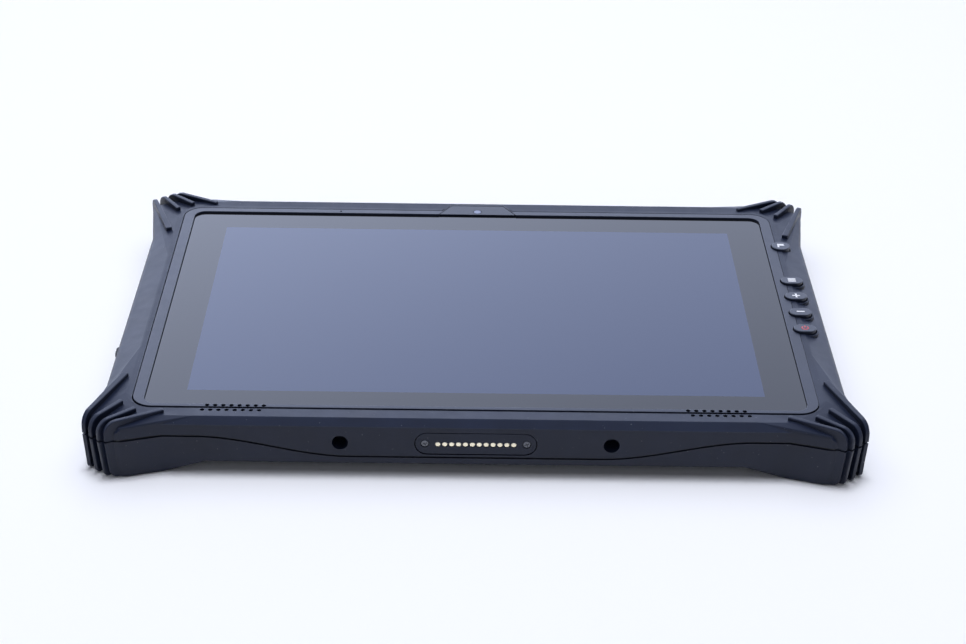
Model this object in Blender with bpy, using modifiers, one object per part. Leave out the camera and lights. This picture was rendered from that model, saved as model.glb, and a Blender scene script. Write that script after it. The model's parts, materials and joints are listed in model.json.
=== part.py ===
"""Rugged ten-inch data collector: a tablet with finned corner bumpers, a rimmed screen, sprung keys on the
right, a docking contact plate on the near side, a hinged port cover on the left, and the pieces inside.

Lengths are in metres. X runs along the long side, Y away from the user, Z up from the floor. The body is
sized outward from the screen's view and upward from the back, so a change of one size moves its neighbours.
"""
import math

import bmesh
import bpy
from mathutils import Matrix, Vector

MM = 0.001

# Clearances
SEAT_GAP = 0.3 * MM
KEY_GAP = 0.3 * MM
SCREW_GAP = 0.35 * MM
OVERLAP = 0.6 * MM
PAST = 6.0 * MM

# Screen, and the margins that lead from its view to the outer walls
VIEW_LENGTH = 216.96 * MM
VIEW_DEPTH = 135.6 * MM
PANEL_BORDER = 6.0 * MM
PANEL_THICK = 4.1 * MM
GLASS_THICK = 1.6 * MM
GLASS_SIDE = 14.9 * MM
GLASS_NEAR = 11.1 * MM
GLASS_FAR = 13.5 * MM
GLASS_CORNER_R = 4.5 * MM
GASKET_THICK = 0.6 * MM
RIM_SIDE = 4.6 * MM
RIM_NEAR = 2.3 * MM
RIM_FAR = 3.6 * MM
RIM_PROUD = 0.8 * MM
RIM_CORNER_R = 8.0 * MM
FRAME_SIDE = 2.4 * MM
FRAME_NEAR = 5.3 * MM
FRAME_FAR = 7.0 * MM
SIDE_RUN = 10.25 * MM
SIDE_DROP = 4.0 * MM
END_RUN = 3.5 * MM
END_DROP = 1.6 * MM

# Stack of the body, from the floor upward
FOOT_LIFT = 4.7 * MM
BACK_WALL = 2.0 * MM
BATTERY_THICK = 9.5 * MM
BATTERY_ROOM = 1.3 * MM
CHASSIS_THICK = 1.2 * MM
LEDGE_THICK = 2.4 * MM
SHELL_WALL = 3.0 * MM

# Seam between the two housings: high at the corners, low at the docking plate
SEAM_GAP = 0.3 * MM
SEAM_HIGH_DROP = 6.8 * MM
SEAM_LOW_DROP = 14.8 * MM
SEAM_FLAT_X = 47.0 * MM
SEAM_RISE_X = 103.0 * MM
SEAM_STEPS = 7
SEAL_INSET = 0.9 * MM
SEAL_WIDTH = 1.2 * MM
SEAL_HALF_HEIGHT = 0.7 * MM
SEAL_GAP = 0.25 * MM

# Corner bumpers, measured from the corner where the two wall lines meet
FLARE_SIDE = 30.0 * MM
FLARE_END = 25.3 * MM
CREASE_SIDE = 54.7 * MM
CREASE_END = 36.9 * MM
CORNER_TOP_SIDE = 19.2 * MM
CORNER_TOP_END = 22.4 * MM
CORNER_DROP = 3.4 * MM
CORNER_CREASE_IN = 1.6 * MM
CORNER_CREASE_DROP = 1.6 * MM
CORE_SIDE_OUT = 3.5 * MM
CORE_SIDE_BACK = 4.2 * MM
CORE_END_OUT = 4.8 * MM
CORE_END_BACK = 9.2 * MM
FOOT_RAMP_SIDE = 42.7 * MM
FOOT_RAMP_END = 40.7 * MM
FOOT_DRAFT = 0.6 * MM
EDGE_ROUND = 0.6 * MM
SHELL_BEVEL = 0.7 * MM
FIN_THICK = 2.0 * MM
FIN_RISE = 1.2 * MM
FIN_SHOULDER_R = 5.0 * MM
FIN_SHOULDER_STEPS = 3
FIN_DRAFT = 1.4 * MM
FIN_BEVEL = 0.4 * MM
FIN_ROOT = 11.0 * MM
FIN_TIPS_X = (3.3 * MM, 0.55 * MM, -2.4 * MM, -4.9 * MM)
FIN_TIPS_Y = (-0.7 * MM, 2.0 * MM, 4.1 * MM, 4.6 * MM)
FIN_LENGTHS = (33.1 * MM, 17.2 * MM, 16.8 * MM, 23.2 * MM)
FIN_DIRECTIONS = (70.5, 55.0, 41.0, 27.3)

# Keys on the right
KEY_LENGTH = 8.9 * MM
KEY_WIDTH = 5.9 * MM
FUNCTION_KEY_WIDTH = 7.2 * MM
KEY_PROUD = 1.2 * MM
KEY_TRAVEL = 0.7 * MM
KEY_BEVEL = 0.5 * MM
KEY_OUT = 2.5 * MM
KEY_PITCH = 13.4 * MM
FUNCTION_KEY_STEP = 31.2 * MM
KEY_FLANGE = 0.9 * MM
KEY_COLLAR = 1.0 * MM
KEY_COLLAR_PROUD = 0.2 * MM
SWITCH_SIDE = 3.6 * MM
SWITCH_THICK = 1.4 * MM
KEY_BOARD_THICK = 1.0 * MM
KEY_BOARD_WIDTH = 9.5 * MM
KEY_BOARD_END = 7.0 * MM
KEY_POST_R = 2.2 * MM

# Docking plate on the near wall
DOCK_DROP = 8.8 * MM
DOCK_HOLE_SPACING = 100.0 * MM
DOCK_HOLE_R = 3.0 * MM
DOCK_HOLE_DEPTH = 8.0 * MM
DOCK_SLEEVE_WALL = 1.8 * MM
PLATE_END = 8.4 * MM
PLATE_HEIGHT = 9.0 * MM
PLATE_THICK = 1.5 * MM
CONTACT_COUNT = 12
CONTACT_PITCH = 2.54 * MM
CONTACT_R = 1.0 * MM
CONTACT_RECESS = 0.1 * MM
CONTACT_DROP = 0.35 * MM
STRIP_HEIGHT = 4.6 * MM
STRIP_THICK = 1.2 * MM
PLATE_SCREW_INSET = 3.6 * MM

# Sound holes, loudspeakers, microphone and front camera
SOUND_HOLE_R = 0.65 * MM
SOUND_HOLE_COUNT = 8
SOUND_HOLE_PITCH = 3.0 * MM
SOUND_START_IN = 49.9 * MM
SOUND_ROW_SHIFT = 1.5 * MM
RIM_ROW_IN = 1.05 * MM
FRAME_ROW_OUT = 1.55 * MM
SPEAKER_DEPTH = 9.0 * MM
SPEAKER_THICK = 5.0 * MM
MICROPHONE_SCREW_STEP = 9.4 * MM
MICROPHONE_HOLE_R = 0.5 * MM
TAB_BASE_HALF = 15.4 * MM
TAB_TOP_HALF = 11.7 * MM
TAB_REACH = 5.9 * MM
TAB_LIP = 0.9 * MM
WINDOW_THICK = 1.2 * MM
WINDOW_PROUD = 0.35 * MM
LENS_R = 1.6 * MM
LENS_IN = 3.0 * MM
CAMERA_SIDE = 8.0 * MM
CAMERA_THICK = 4.5 * MM
CAMERA_BARREL_R = 1.8 * MM

# Port bay in the left wall, its cover and sockets
PORT_CENTRE_Y = -5.0 * MM
PORT_LENGTH = 62.0 * MM
PORT_HEIGHT = 7.2 * MM
PORT_LIFT = 2.8 * MM
PORT_COVER_THICK = 1.7 * MM
PORT_COVER_PROUD = 0.2 * MM
ANCHOR_LENGTH = 5.0 * MM
PULL_TAB_LENGTH = 6.0 * MM
PULL_TAB_INSET = 8.5 * MM
PULL_TAB_HEIGHT = 2.0 * MM
PULL_TAB_OUT = 2.0 * MM
PORT_BOARD_THICK = 0.8 * MM
PORT_BOARD_DEPTH = 17.0 * MM
USB_A_WIDTH = 13.2 * MM
USB_A_HEIGHT = 5.6 * MM
USB_A_DEPTH = 14.0 * MM
USB_C_WIDTH = 9.0 * MM
USB_C_HEIGHT = 3.4 * MM
USB_C_DEPTH = 8.0 * MM
POWER_JACK_SIDE = 5.6 * MM
POWER_JACK_WIDTH = 9.0 * MM
POWER_JACK_DEPTH = 12.0 * MM
POWER_JACK_HOLE_R = 2.2 * MM
POWER_JACK_PIN_R = 0.9 * MM
SOCKET_PITCH = 18.0 * MM
SOCKET_WALL = 0.5 * MM

# Battery, boards, back fittings and screws
BATTERY_LENGTH = 160.0 * MM
BATTERY_DEPTH = 62.0 * MM
BATTERY_NEAR = 21.7 * MM
BATTERY_SIDE_GAP = 1.0 * MM
COVER_THICK = 1.9 * MM
COVER_MARGIN = 6.0 * MM
BOARD_LIFT = 5.2 * MM
BOARD_THICK = 1.6 * MM
BOARD_SIDE_ROOM = 6.5 * MM
BOARD_DEPTH = 66.0 * MM
BOARD_GAP = 12.0 * MM
SHIELD_LENGTH = 60.0 * MM
SHIELD_DEPTH = 42.0 * MM
SPREADER_THICK = 0.8 * MM
SPREADER_LENGTH = 96.0 * MM
SPREADER_DEPTH = 48.0 * MM
STORAGE_LENGTH = 42.0 * MM
STORAGE_DEPTH = 22.0 * MM
STORAGE_THICK = 2.2 * MM
INSERT_SPACING_X = 75.0 * MM
INSERT_SPACING_Y = 50.0 * MM
INSERT_R = 3.0 * MM
INSERT_BORE_R = 1.65 * MM
INSERT_LENGTH = 4.0 * MM
INSERT_BOSS_WALL = 1.5 * MM
REAR_CAMERA_IN = 22.0 * MM
REAR_WINDOW_R = 5.0 * MM
REAR_WINDOW_THICK = 0.9 * MM
REAR_BARREL_R = 3.4 * MM
REAR_CAMERA_SIDE = 8.5 * MM
HOUSING_SCREW_Y = 44.0 * MM
HOUSING_SCREW_IN = 6.0 * MM
HOUSING_SCREW_END = 8.7 * MM
HOUSING_SCREW_R = 1.1 * MM
HOUSING_SCREW_LENGTH = 8.0 * MM
HOUSING_HEAD_R = 2.4 * MM
HOUSING_HEAD_THICK = 1.5 * MM
HOUSING_SEAT_DEPTH = 2.2 * MM
HOUSING_BOSS_R = 3.4 * MM
REAR_BOSS_RISE = 2.0 * MM
SMALL_SCREW_R = 0.8 * MM
SMALL_SCREW_LENGTH = 3.4 * MM
SMALL_HEAD_R = 1.6 * MM
SMALL_HEAD_THICK = 0.8 * MM

# Places that follow from the sizes above
GLASS_HALF_X = VIEW_LENGTH / 2 + GLASS_SIDE
RIM_HALF_X = GLASS_HALF_X + RIM_SIDE
TOP_HALF_X = RIM_HALF_X + FRAME_SIDE
HALF_X = TOP_HALF_X + SIDE_RUN
NEAR_MARGIN = END_RUN + FRAME_NEAR + RIM_NEAR + GLASS_NEAR
FAR_MARGIN = END_RUN + FRAME_FAR + RIM_FAR + GLASS_FAR
HALF_Y = (VIEW_DEPTH + NEAR_MARGIN + FAR_MARGIN) / 2
VIEW_Y = NEAR_MARGIN + VIEW_DEPTH / 2 - HALF_Y
TOP_HALF_Y = HALF_Y - END_RUN
RIM_NEAR_Y = FRAME_NEAR - TOP_HALF_Y
SOUND_FIRST_X = RIM_HALF_X - SOUND_START_IN
RIM_FAR_Y = TOP_HALF_Y - FRAME_FAR
GLASS_NEAR_Y = RIM_NEAR_Y + RIM_NEAR
GLASS_FAR_Y = RIM_FAR_Y - RIM_FAR
PANEL_HALF_X = VIEW_LENGTH / 2 + PANEL_BORDER
PANEL_HALF_Y = VIEW_DEPTH / 2 + PANEL_BORDER

BACK_Z = FOOT_LIFT
FLOOR_Z = BACK_Z + BACK_WALL
CHASSIS_Z = BACK_Z + BATTERY_THICK + BATTERY_ROOM
PANEL_Z = CHASSIS_Z + CHASSIS_THICK + SEAT_GAP
GLASS_Z = PANEL_Z + PANEL_THICK + SEAT_GAP
TOP_Z = GLASS_Z + GLASS_THICK
GASKET_Z = GLASS_Z - SEAT_GAP - GASKET_THICK
POCKET_Z = GASKET_Z - SEAT_GAP
CEILING_Z = POCKET_Z - LEDGE_THICK
RIM_TOP_Z = TOP_Z + RIM_PROUD
SEAM_HIGH_Z = TOP_Z - SEAM_HIGH_DROP
SEAM_LOW_Z = TOP_Z - SEAM_LOW_DROP
DOCK_Z = TOP_Z - DOCK_DROP

# Materials
COLOURS = {
    "housing": ((0.035, 0.038, 0.046), 0.55, 0.0),
    "rim": ((0.03, 0.032, 0.038), 0.45, 0.0),
    "glass": ((0.05, 0.06, 0.08), 0.05, 0.0),
    "panel": ((0.10, 0.13, 0.22), 0.25, 0.0),
    "key": ((0.025, 0.026, 0.03), 0.6, 0.0),
    "rubber": ((0.018, 0.018, 0.02), 0.8, 0.0),
    "gold": ((0.83, 0.62, 0.28), 0.25, 1.0),
    "black_steel": ((0.04, 0.04, 0.045), 0.35, 1.0),
    "steel": ((0.55, 0.56, 0.58), 0.3, 1.0),
    "aluminium": ((0.72, 0.73, 0.75), 0.35, 1.0),
    "copper": ((0.75, 0.38, 0.22), 0.3, 1.0),
    "brass": ((0.72, 0.55, 0.25), 0.3, 1.0),
    "board": ((0.02, 0.16, 0.09), 0.5, 0.0),
    "battery": ((0.09, 0.10, 0.13), 0.5, 0.0),
}


def start_clean():
    for old in list(bpy.data.objects):
        bpy.data.objects.remove(old, do_unlink=True)


def make_materials():
    made = {}
    for name, (colour, roughness, metallic) in COLOURS.items():
        material = bpy.data.materials.new(name)
        material.use_nodes = True
        shader = material.node_tree.nodes["Principled BSDF"]
        shader.inputs["Base Color"].default_value = (*colour, 1.0)
        shader.inputs["Roughness"].default_value = roughness
        shader.inputs["Metallic"].default_value = metallic
        material.diffuse_color = (*colour, 1.0)
        made[name] = material
    return made


def new_collection(name):
    collection = bpy.data.collections.new(name)
    bpy.context.scene.collection.children.link(collection)
    return collection


start_clean()
MATERIALS = make_materials()
PARTS = new_collection("data_collector")
CUTTERS = new_collection("cutters")


# Building helpers
def add_object(name, mesh, material, location=(0, 0, 0)):
    """Links a finished piece, with its own material, to the parts."""
    mesh.materials.clear()
    mesh.materials.append(MATERIALS[material])
    made = bpy.data.objects.new(name, mesh)
    made.location = location
    PARTS.objects.link(made)
    return made


def add_cutter(name, mesh):
    """Links a helper that only Booleans use."""
    made = bpy.data.objects.new(name, mesh)
    made.hide_render = True
    made.display_type = "WIRE"
    CUTTERS.objects.link(made)
    return made


def to_mesh(name, bm):
    """Turns the faces of one closed solid outward and keeps it as a mesh."""
    bmesh.ops.recalc_face_normals(bm, faces=bm.faces)
    if bm.calc_volume(signed=True) < 0:
        bmesh.ops.reverse_faces(bm, faces=bm.faces)
    mesh = bpy.data.meshes.new(name)
    bm.to_mesh(mesh)
    bm.free()
    return mesh


def join_meshes(name, meshes):
    """One mesh that holds several separate solids."""
    bm = bmesh.new()
    for mesh in meshes:
        bm.from_mesh(mesh)
    joined = bpy.data.meshes.new(name)
    bm.to_mesh(joined)
    bm.free()
    return joined


def boolean(made, tool, operation):
    modifier = made.modifiers.new(tool.name, "BOOLEAN")
    modifier.operation = operation
    modifier.solver = "EXACT"
    modifier.object = tool
    return modifier


def bevel(made, width, segments=1, angle=30.0):
    modifier = made.modifiers.new("edge_round", "BEVEL")
    modifier.width = width
    modifier.segments = segments
    modifier.limit_method = "ANGLE"
    modifier.angle_limit = math.radians(angle)
    return modifier


ACROSS_Y = Matrix(((1, 0, 0, 0), (0, 0, -1, 0), (0, 1, 0, 0), (0, 0, 0, 1)))


def outline_solid(name, loops, low, high, turn=None):
    """A flat outline, with any holes, drawn as a 2D curve and raised from low to high.

    With no turn it is raised along Z. ACROSS_Y takes an XZ outline from y = -high to y = -low.
    """
    curve = bpy.data.curves.new(name, "CURVE")
    curve.dimensions = "2D"
    curve.fill_mode = "BOTH"
    curve.extrude = (high - low) / 2
    for loop in loops:
        spline = curve.splines.new("POLY")
        spline.points.add(len(loop) - 1)
        for point, (x, y) in zip(spline.points, loop):
            point.co = (x, y, 0.0, 1.0)
        spline.use_cyclic_u = True
    holder = bpy.data.objects.new(name, curve)
    bpy.context.scene.collection.objects.link(holder)
    graph = bpy.context.evaluated_depsgraph_get()
    drawn = bpy.data.meshes.new_from_object(holder.evaluated_get(graph))
    bpy.data.objects.remove(holder, do_unlink=True)
    bm = bmesh.new()
    bm.from_mesh(drawn)
    bpy.data.meshes.remove(drawn)
    bmesh.ops.remove_doubles(bm, verts=bm.verts, dist=1e-7)
    bmesh.ops.dissolve_limit(bm, angle_limit=0.001, verts=bm.verts, edges=bm.edges)
    move = Matrix.Translation((0, 0, (low + high) / 2))
    bm.transform(turn @ move if turn else move)
    return to_mesh(name, bm)


def box(name, low, high):
    bm = bmesh.new()
    bmesh.ops.create_cube(bm, size=1.0)
    size = [b - a for a, b in zip(low, high)]
    middle = [(a + b) / 2 for a, b in zip(low, high)]
    bm.transform(Matrix.Translation(middle) @ Matrix.Diagonal((*size, 1.0)))
    return to_mesh(name, bm)


def cylinder(name, radius, start, end, segments=16):
    """A round bar between two points."""
    start = Vector(start)
    end = Vector(end)
    along = end - start
    bm = bmesh.new()
    bmesh.ops.create_cone(
        bm, cap_ends=True, segments=segments, radius1=radius, radius2=radius, depth=along.length)
    turn = Vector((0, 0, 1)).rotation_difference(along).to_matrix().to_4x4()
    bm.transform(Matrix.Translation((start + end) / 2) @ turn)
    return to_mesh(name, bm)


def arc(centre_x, centre_y, radius, first, last, steps):
    turns = [first + (last - first) * i / steps for i in range(steps + 1)]
    return [(centre_x + radius * math.cos(a), centre_y + radius * math.sin(a)) for a in turns]


def rounded_box(low_x, low_y, high_x, high_y, radius, steps=4):
    quarter = math.pi / 2
    points = arc(high_x - radius, high_y - radius, radius, 0, quarter, steps)
    points += arc(low_x + radius, high_y - radius, radius, quarter, 2 * quarter, steps)
    points += arc(low_x + radius, low_y + radius, radius, 2 * quarter, 3 * quarter, steps)
    points += arc(high_x - radius, low_y + radius, radius, 3 * quarter, 4 * quarter, steps)
    return points


def stadium(length, width, steps=8, centre=(0.0, 0.0)):
    """A straight-sided oval, its length along the first axis."""
    radius = width / 2
    reach = length / 2 - radius
    points = arc(centre[0] + reach, centre[1], radius, -math.pi / 2, math.pi / 2, steps)
    points += arc(centre[0] - reach, centre[1], radius, math.pi / 2, 3 * math.pi / 2, steps)
    return points


def inset(points, distance):
    """A closed outline moved inward by a distance, with mitred corners."""
    moved = []
    count = len(points)
    for i in range(count):
        before = Vector(points[i - 1])
        here = Vector(points[i])
        after = Vector(points[(i + 1) % count])
        first = (here - before).normalized()
        second = (after - here).normalized()
        first_in = Vector((-first.y, first.x))
        second_in = Vector((-second.y, second.x))
        middle = (first_in + second_in).normalized()
        moved.append(tuple(here + middle * (distance / middle.dot(first_in))))
    return moved


def mirrored(quarter):
    """The closed ring that a quarter's points make when mirrored to all four corners."""
    ring = [tuple(p) for p in quarter]
    ring += [(-p[0], *p[1:]) for p in reversed(quarter)]
    ring += [(-p[0], -p[1], *p[2:]) for p in quarter]
    ring += [(p[0], -p[1], *p[2:]) for p in reversed(quarter)]
    return ring


def loft(bm, rings):
    """Side faces between rings of equal length. Returns the vertices ring by ring."""
    rows = [[bm.verts.new(p) for p in ring] for ring in rings]
    count = len(rings[0])
    for lower, upper in zip(rows, rows[1:]):
        for i in range(count):
            j = (i + 1) % count
            bm.faces.new((lower[i], lower[j], upper[j], upper[i]))
    return rows


# Seam surface: one outline in XZ, carried through the whole depth
def seam_height(x):
    share = (abs(x) - SEAM_FLAT_X) / (SEAM_RISE_X - SEAM_FLAT_X)
    share = min(1.0, max(0.0, share))
    return SEAM_LOW_Z + (SEAM_HIGH_Z - SEAM_LOW_Z) * share * share * (3 - 2 * share)


def seam_line(offset):
    rise = SEAM_RISE_X - SEAM_FLAT_X
    right = [SEAM_FLAT_X + rise * i / SEAM_STEPS for i in range(SEAM_STEPS + 1)]
    right.append(HALF_X + 4 * PAST)
    places = [-x for x in reversed(right)] + right
    return [(x, seam_height(x) + offset) for x in places]


def seam_slab(name, low_offset, high_offset):
    """The solid between the seam moved to two heights. None means far below or far above."""
    reach = HALF_X + 4 * PAST
    low = [(-reach, -4 * PAST), (reach, -4 * PAST)] if low_offset is None else seam_line(low_offset)
    top = TOP_Z + 4 * PAST
    high = [(-reach, top), (reach, top)] if high_offset is None else seam_line(high_offset)
    depth = HALF_Y + 4 * PAST
    return outline_solid(name, [low + list(reversed(high))], -depth, depth, ACROSS_Y)


# Plan of the walls: one quarter, from the side round the corner to the end
SIDE_FLARE = (HALF_X, HALF_Y - FLARE_SIDE)
CORE_SIDE = (HALF_X + CORE_SIDE_OUT, HALF_Y - CORE_SIDE_BACK)
CORE_END = (HALF_X - CORE_END_BACK, HALF_Y + CORE_END_OUT)
END_FLARE = (HALF_X - FLARE_END, HALF_Y)
WALL_PLAN = mirrored([SIDE_FLARE, CORE_SIDE, CORE_END, END_FLARE])


def front_blank():
    """Upper housing before it is hollowed: walls, sloped bands, bumper creases and the flat top."""
    low = [(x, y, BACK_Z - PAST) for x, y in (SIDE_FLARE, CORE_SIDE, CORE_END, END_FLARE)]
    wall = [
        (*SIDE_FLARE, TOP_Z - SIDE_DROP),
        (*CORE_SIDE, TOP_Z - CORNER_DROP),
        (*CORE_END, TOP_Z - CORNER_DROP),
        (*END_FLARE, TOP_Z - END_DROP),
    ]
    side_start = (TOP_HALF_X, HALF_Y - CREASE_SIDE, TOP_Z)
    end_start = (HALF_X - CREASE_END, TOP_HALF_Y, TOP_Z)
    crease_z = TOP_Z - CORNER_CREASE_DROP
    crease = [
        side_start,
        (CORE_SIDE[0] - CORNER_CREASE_IN, CORE_SIDE[1] - CORNER_CREASE_IN, crease_z),
        (CORE_END[0] - CORNER_CREASE_IN, CORE_END[1] - CORNER_CREASE_IN, crease_z),
        end_start,
    ]
    top = [
        side_start,
        (TOP_HALF_X + OVERLAP, HALF_Y - CORNER_TOP_SIDE, TOP_Z),
        (HALF_X - CORNER_TOP_END, TOP_HALF_Y - OVERLAP, TOP_Z),
        end_start,
    ]
    bm = bmesh.new()
    rows = loft(bm, [mirrored(low), mirrored(wall), mirrored(crease), mirrored(top)])
    bm.faces.new(reversed(rows[0]))
    bm.faces.new(rows[-1])
    bmesh.ops.remove_doubles(bm, verts=bm.verts, dist=SEAT_GAP / 100)
    return to_mesh("front_blank", bm)


def rear_blank():
    """Lower housing before it is hollowed: drafted walls, a foot at each corner and ramps to the back."""
    ramp_x = HALF_X - FOOT_RAMP_END
    ramp_y = HALF_Y - FOOT_RAMP_SIDE
    plan = [(HALF_X, ramp_y), SIDE_FLARE, CORE_SIDE, CORE_END, END_FLARE, (ramp_x, HALF_Y)]
    floor = [BACK_Z, 0.0, 0.0, 0.0, 0.0, BACK_Z]
    inward = [(-1, 0), (-1, 0), (-1, -0.7), (-0.7, -1), (0, -1), (0, -1)]
    draft = [0.3, 0.8, 1.0, 1.0, 0.8, 0.3]

    def ring(heights, amounts):
        points = []
        for (x, y), z, (dx, dy), amount in zip(plan, heights, inward, amounts):
            points.append((x + dx * amount, y + dy * amount, z))
        return points

    full = [share * FOOT_DRAFT for share in draft]
    rounded = [amount + EDGE_ROUND for amount in full]
    top = ring([TOP_Z - SIDE_DROP] * len(plan), [0.0] * len(plan))
    seam = ring([SEAM_HIGH_Z - SEAM_GAP] * len(plan), [0.0] * len(plan))
    low = ring([z + EDGE_ROUND for z in floor], full)
    bottom = ring(floor, rounded)
    bm = bmesh.new()
    rows = loft(bm, [mirrored(bottom), mirrored(low), mirrored(seam), mirrored(top)])
    bm.faces.new(rows[-1])
    base = rows[0]
    count = len(plan)
    back = []
    for corner, (sx, sy) in enumerate(((1, 1), (-1, 1), (-1, -1), (1, -1))):
        quarter = base[corner * count:(corner + 1) * count]
        if sx * sy < 0:
            quarter = quarter[::-1]
        foot = bm.verts.new((sx * END_FLARE[0], sy * SIDE_FLARE[1], 0.0))
        ramp = bm.verts.new((sx * ramp_x, sy * ramp_y, BACK_Z))
        bm.faces.new((quarter[1], quarter[2], quarter[3], quarter[4], foot))
        bm.faces.new((quarter[0], quarter[1], foot, ramp))
        bm.faces.new((quarter[4], quarter[5], ramp, foot))
        ends = [quarter[0], ramp, quarter[5]]
        back += ends if sx * sy > 0 else ends[::-1]
    bm.faces.new(back)
    return to_mesh("rear_blank", bm)


def fin_blanks():
    """Four full-height fins at each corner: level top, rounded shoulder, straight tip and drafted foot.

    Returns one helper for each fin of the corner, which holds that fin mirrored to all four corners.
    """
    top = TOP_Z + FIN_RISE
    made = []
    for out_x, out_y, length, degrees in zip(FIN_TIPS_X, FIN_TIPS_Y, FIN_LENGTHS, FIN_DIRECTIONS):
        tip_x = HALF_X + out_x
        tip_y = HALF_Y + out_y
        bend = FIN_SHOULDER_R
        shoulder = arc(-bend, top - bend, bend, math.pi / 2, 0, FIN_SHOULDER_STEPS)
        profile = [(-length, top)] + shoulder
        profile += [(0.0, SEAM_HIGH_Z), (-FIN_DRAFT, SEAT_GAP), (-FIN_ROOT, SEAT_GAP)]
        profile += [(-FIN_ROOT, SEAM_HIGH_Z - PAST), (-length, CEILING_Z + OVERLAP)]
        flat = outline_solid("fin", [profile], -FIN_THICK / 2, FIN_THICK / 2, ACROSS_Y)
        place = Matrix.Translation((tip_x, tip_y, 0)) @ Matrix.Rotation(math.radians(degrees), 4, "Z")
        meshes = []
        for sx, sy in ((1, 1), (-1, 1), (-1, -1), (1, -1)):
            fin = flat.copy()
            fin.transform(Matrix.Diagonal((sx, sy, 1, 1)) @ place)
            if sx * sy < 0:
                fin.flip_normals()
            meshes.append(fin)
        fins = add_cutter("fins", join_meshes("fins", meshes))
        bevel(fins, FIN_BEVEL, angle=45.0)
        made.append(fins)
    return made


# Outlines of the screen's rim, glass and camera tab
def rim_outline(grow=0.0):
    """The rim's outer line, with the trapezoid tab on its far side."""
    low = RIM_NEAR_Y - grow
    high = RIM_FAR_Y + grow
    side = RIM_HALF_X + grow
    corner_steps = 4
    points = rounded_box(-side, low, side, high, RIM_CORNER_R + grow, corner_steps)
    tab = [
        (TAB_BASE_HALF + grow, high),
        (TAB_TOP_HALF + grow, high + TAB_REACH),
        (-TAB_TOP_HALF - grow, high + TAB_REACH),
        (-TAB_BASE_HALF - grow, high),
    ]
    after_first_corner = corner_steps + 1
    return points[:after_first_corner] + tab + points[after_first_corner:]


def glass_outline(grow=0.0):
    side = GLASS_HALF_X + grow
    return rounded_box(-side, GLASS_NEAR_Y - grow, side, GLASS_FAR_Y + grow, GLASS_CORNER_R + grow)


def window_outline(grow=0.0, extra_near=0.0):
    """The camera window, a trapezoid that follows the tab's slanted sides."""
    slant = (TAB_BASE_HALF - TAB_TOP_HALF) / TAB_REACH
    near = GLASS_FAR_Y + SEAT_GAP - extra_near
    far = RIM_FAR_Y + TAB_REACH - TAB_LIP + grow

    def half(y):
        return TAB_BASE_HALF - TAB_LIP - slant * (y - RIM_FAR_Y) + grow

    return [(half(near), near), (half(far), far), (-half(far), far), (-half(near), near)]


LENS_Y = GLASS_FAR_Y + LENS_IN
KEY_X = RIM_HALF_X + KEY_OUT
KEY_PLACES = {
    "function": KEY_PITCH * 1.5 + FUNCTION_KEY_STEP,
    "menu": KEY_PITCH * 1.5,
    "volume_up": KEY_PITCH * 0.5,
    "volume_down": KEY_PITCH * -0.5,
    "power": KEY_PITCH * -1.5,
}
KEY_FLANGE_TOP_Z = CEILING_Z - SEAT_GAP
KEY_BASE_Z = KEY_FLANGE_TOP_Z - KEY_FLANGE
SWITCH_TOP_Z = KEY_BASE_Z - KEY_TRAVEL - SEAT_GAP
KEY_BOARD_TOP_Z = SWITCH_TOP_Z - SWITCH_THICK - SEAT_GAP


def key_width(name):
    return FUNCTION_KEY_WIDTH if name == "function" else KEY_WIDTH


HOUSING_SIDE_X = PANEL_HALF_X + HOUSING_SCREW_IN + SEAT_GAP
HOUSING_END_X = SOUND_FIRST_X - HOUSING_SCREW_END
MICROPHONE_X = MICROPHONE_SCREW_STEP - HOUSING_END_X
HOUSING_END_Y = HALF_Y - HOUSING_SCREW_END
HOUSING_SCREW_PLACES = []
for side_sign in (1, -1):
    for end_sign in (1, -1):
        HOUSING_SCREW_PLACES.append((side_sign * HOUSING_SIDE_X, end_sign * HOUSING_SCREW_Y))
        HOUSING_SCREW_PLACES.append((side_sign * HOUSING_END_X, end_sign * HOUSING_END_Y))
SCREW_SEAT_Z = BACK_Z + HOUSING_SEAT_DEPTH
REAR_BOSS_TOP_Z = FLOOR_Z + REAR_BOSS_RISE
FRONT_BOSS_Z = REAR_BOSS_TOP_Z + SEAT_GAP

PLATE_LENGTH = (CONTACT_COUNT - 1) * CONTACT_PITCH + 2 * PLATE_END
STRIP_LENGTH = (CONTACT_COUNT + 0.5) * CONTACT_PITCH
PLATE_SCREW_X = PLATE_LENGTH / 2 - PLATE_SCREW_INSET
CONTACT_Z = DOCK_Z - CONTACT_DROP
NEAR_WALL_Y = -HALF_Y
PLATE_BACK_Y = NEAR_WALL_Y + PLATE_THICK
PLATE_POCKET_Y = PLATE_BACK_Y + SEAT_GAP

SOUND_ROW_MIDDLE = SOUND_FIRST_X + SOUND_HOLE_PITCH * (SOUND_HOLE_COUNT - 1) / 2 + SOUND_ROW_SHIFT / 2
SPEAKER_LENGTH = SOUND_HOLE_PITCH * (SOUND_HOLE_COUNT - 1) + SOUND_ROW_SHIFT + 4 * SOUND_HOLE_R

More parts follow.
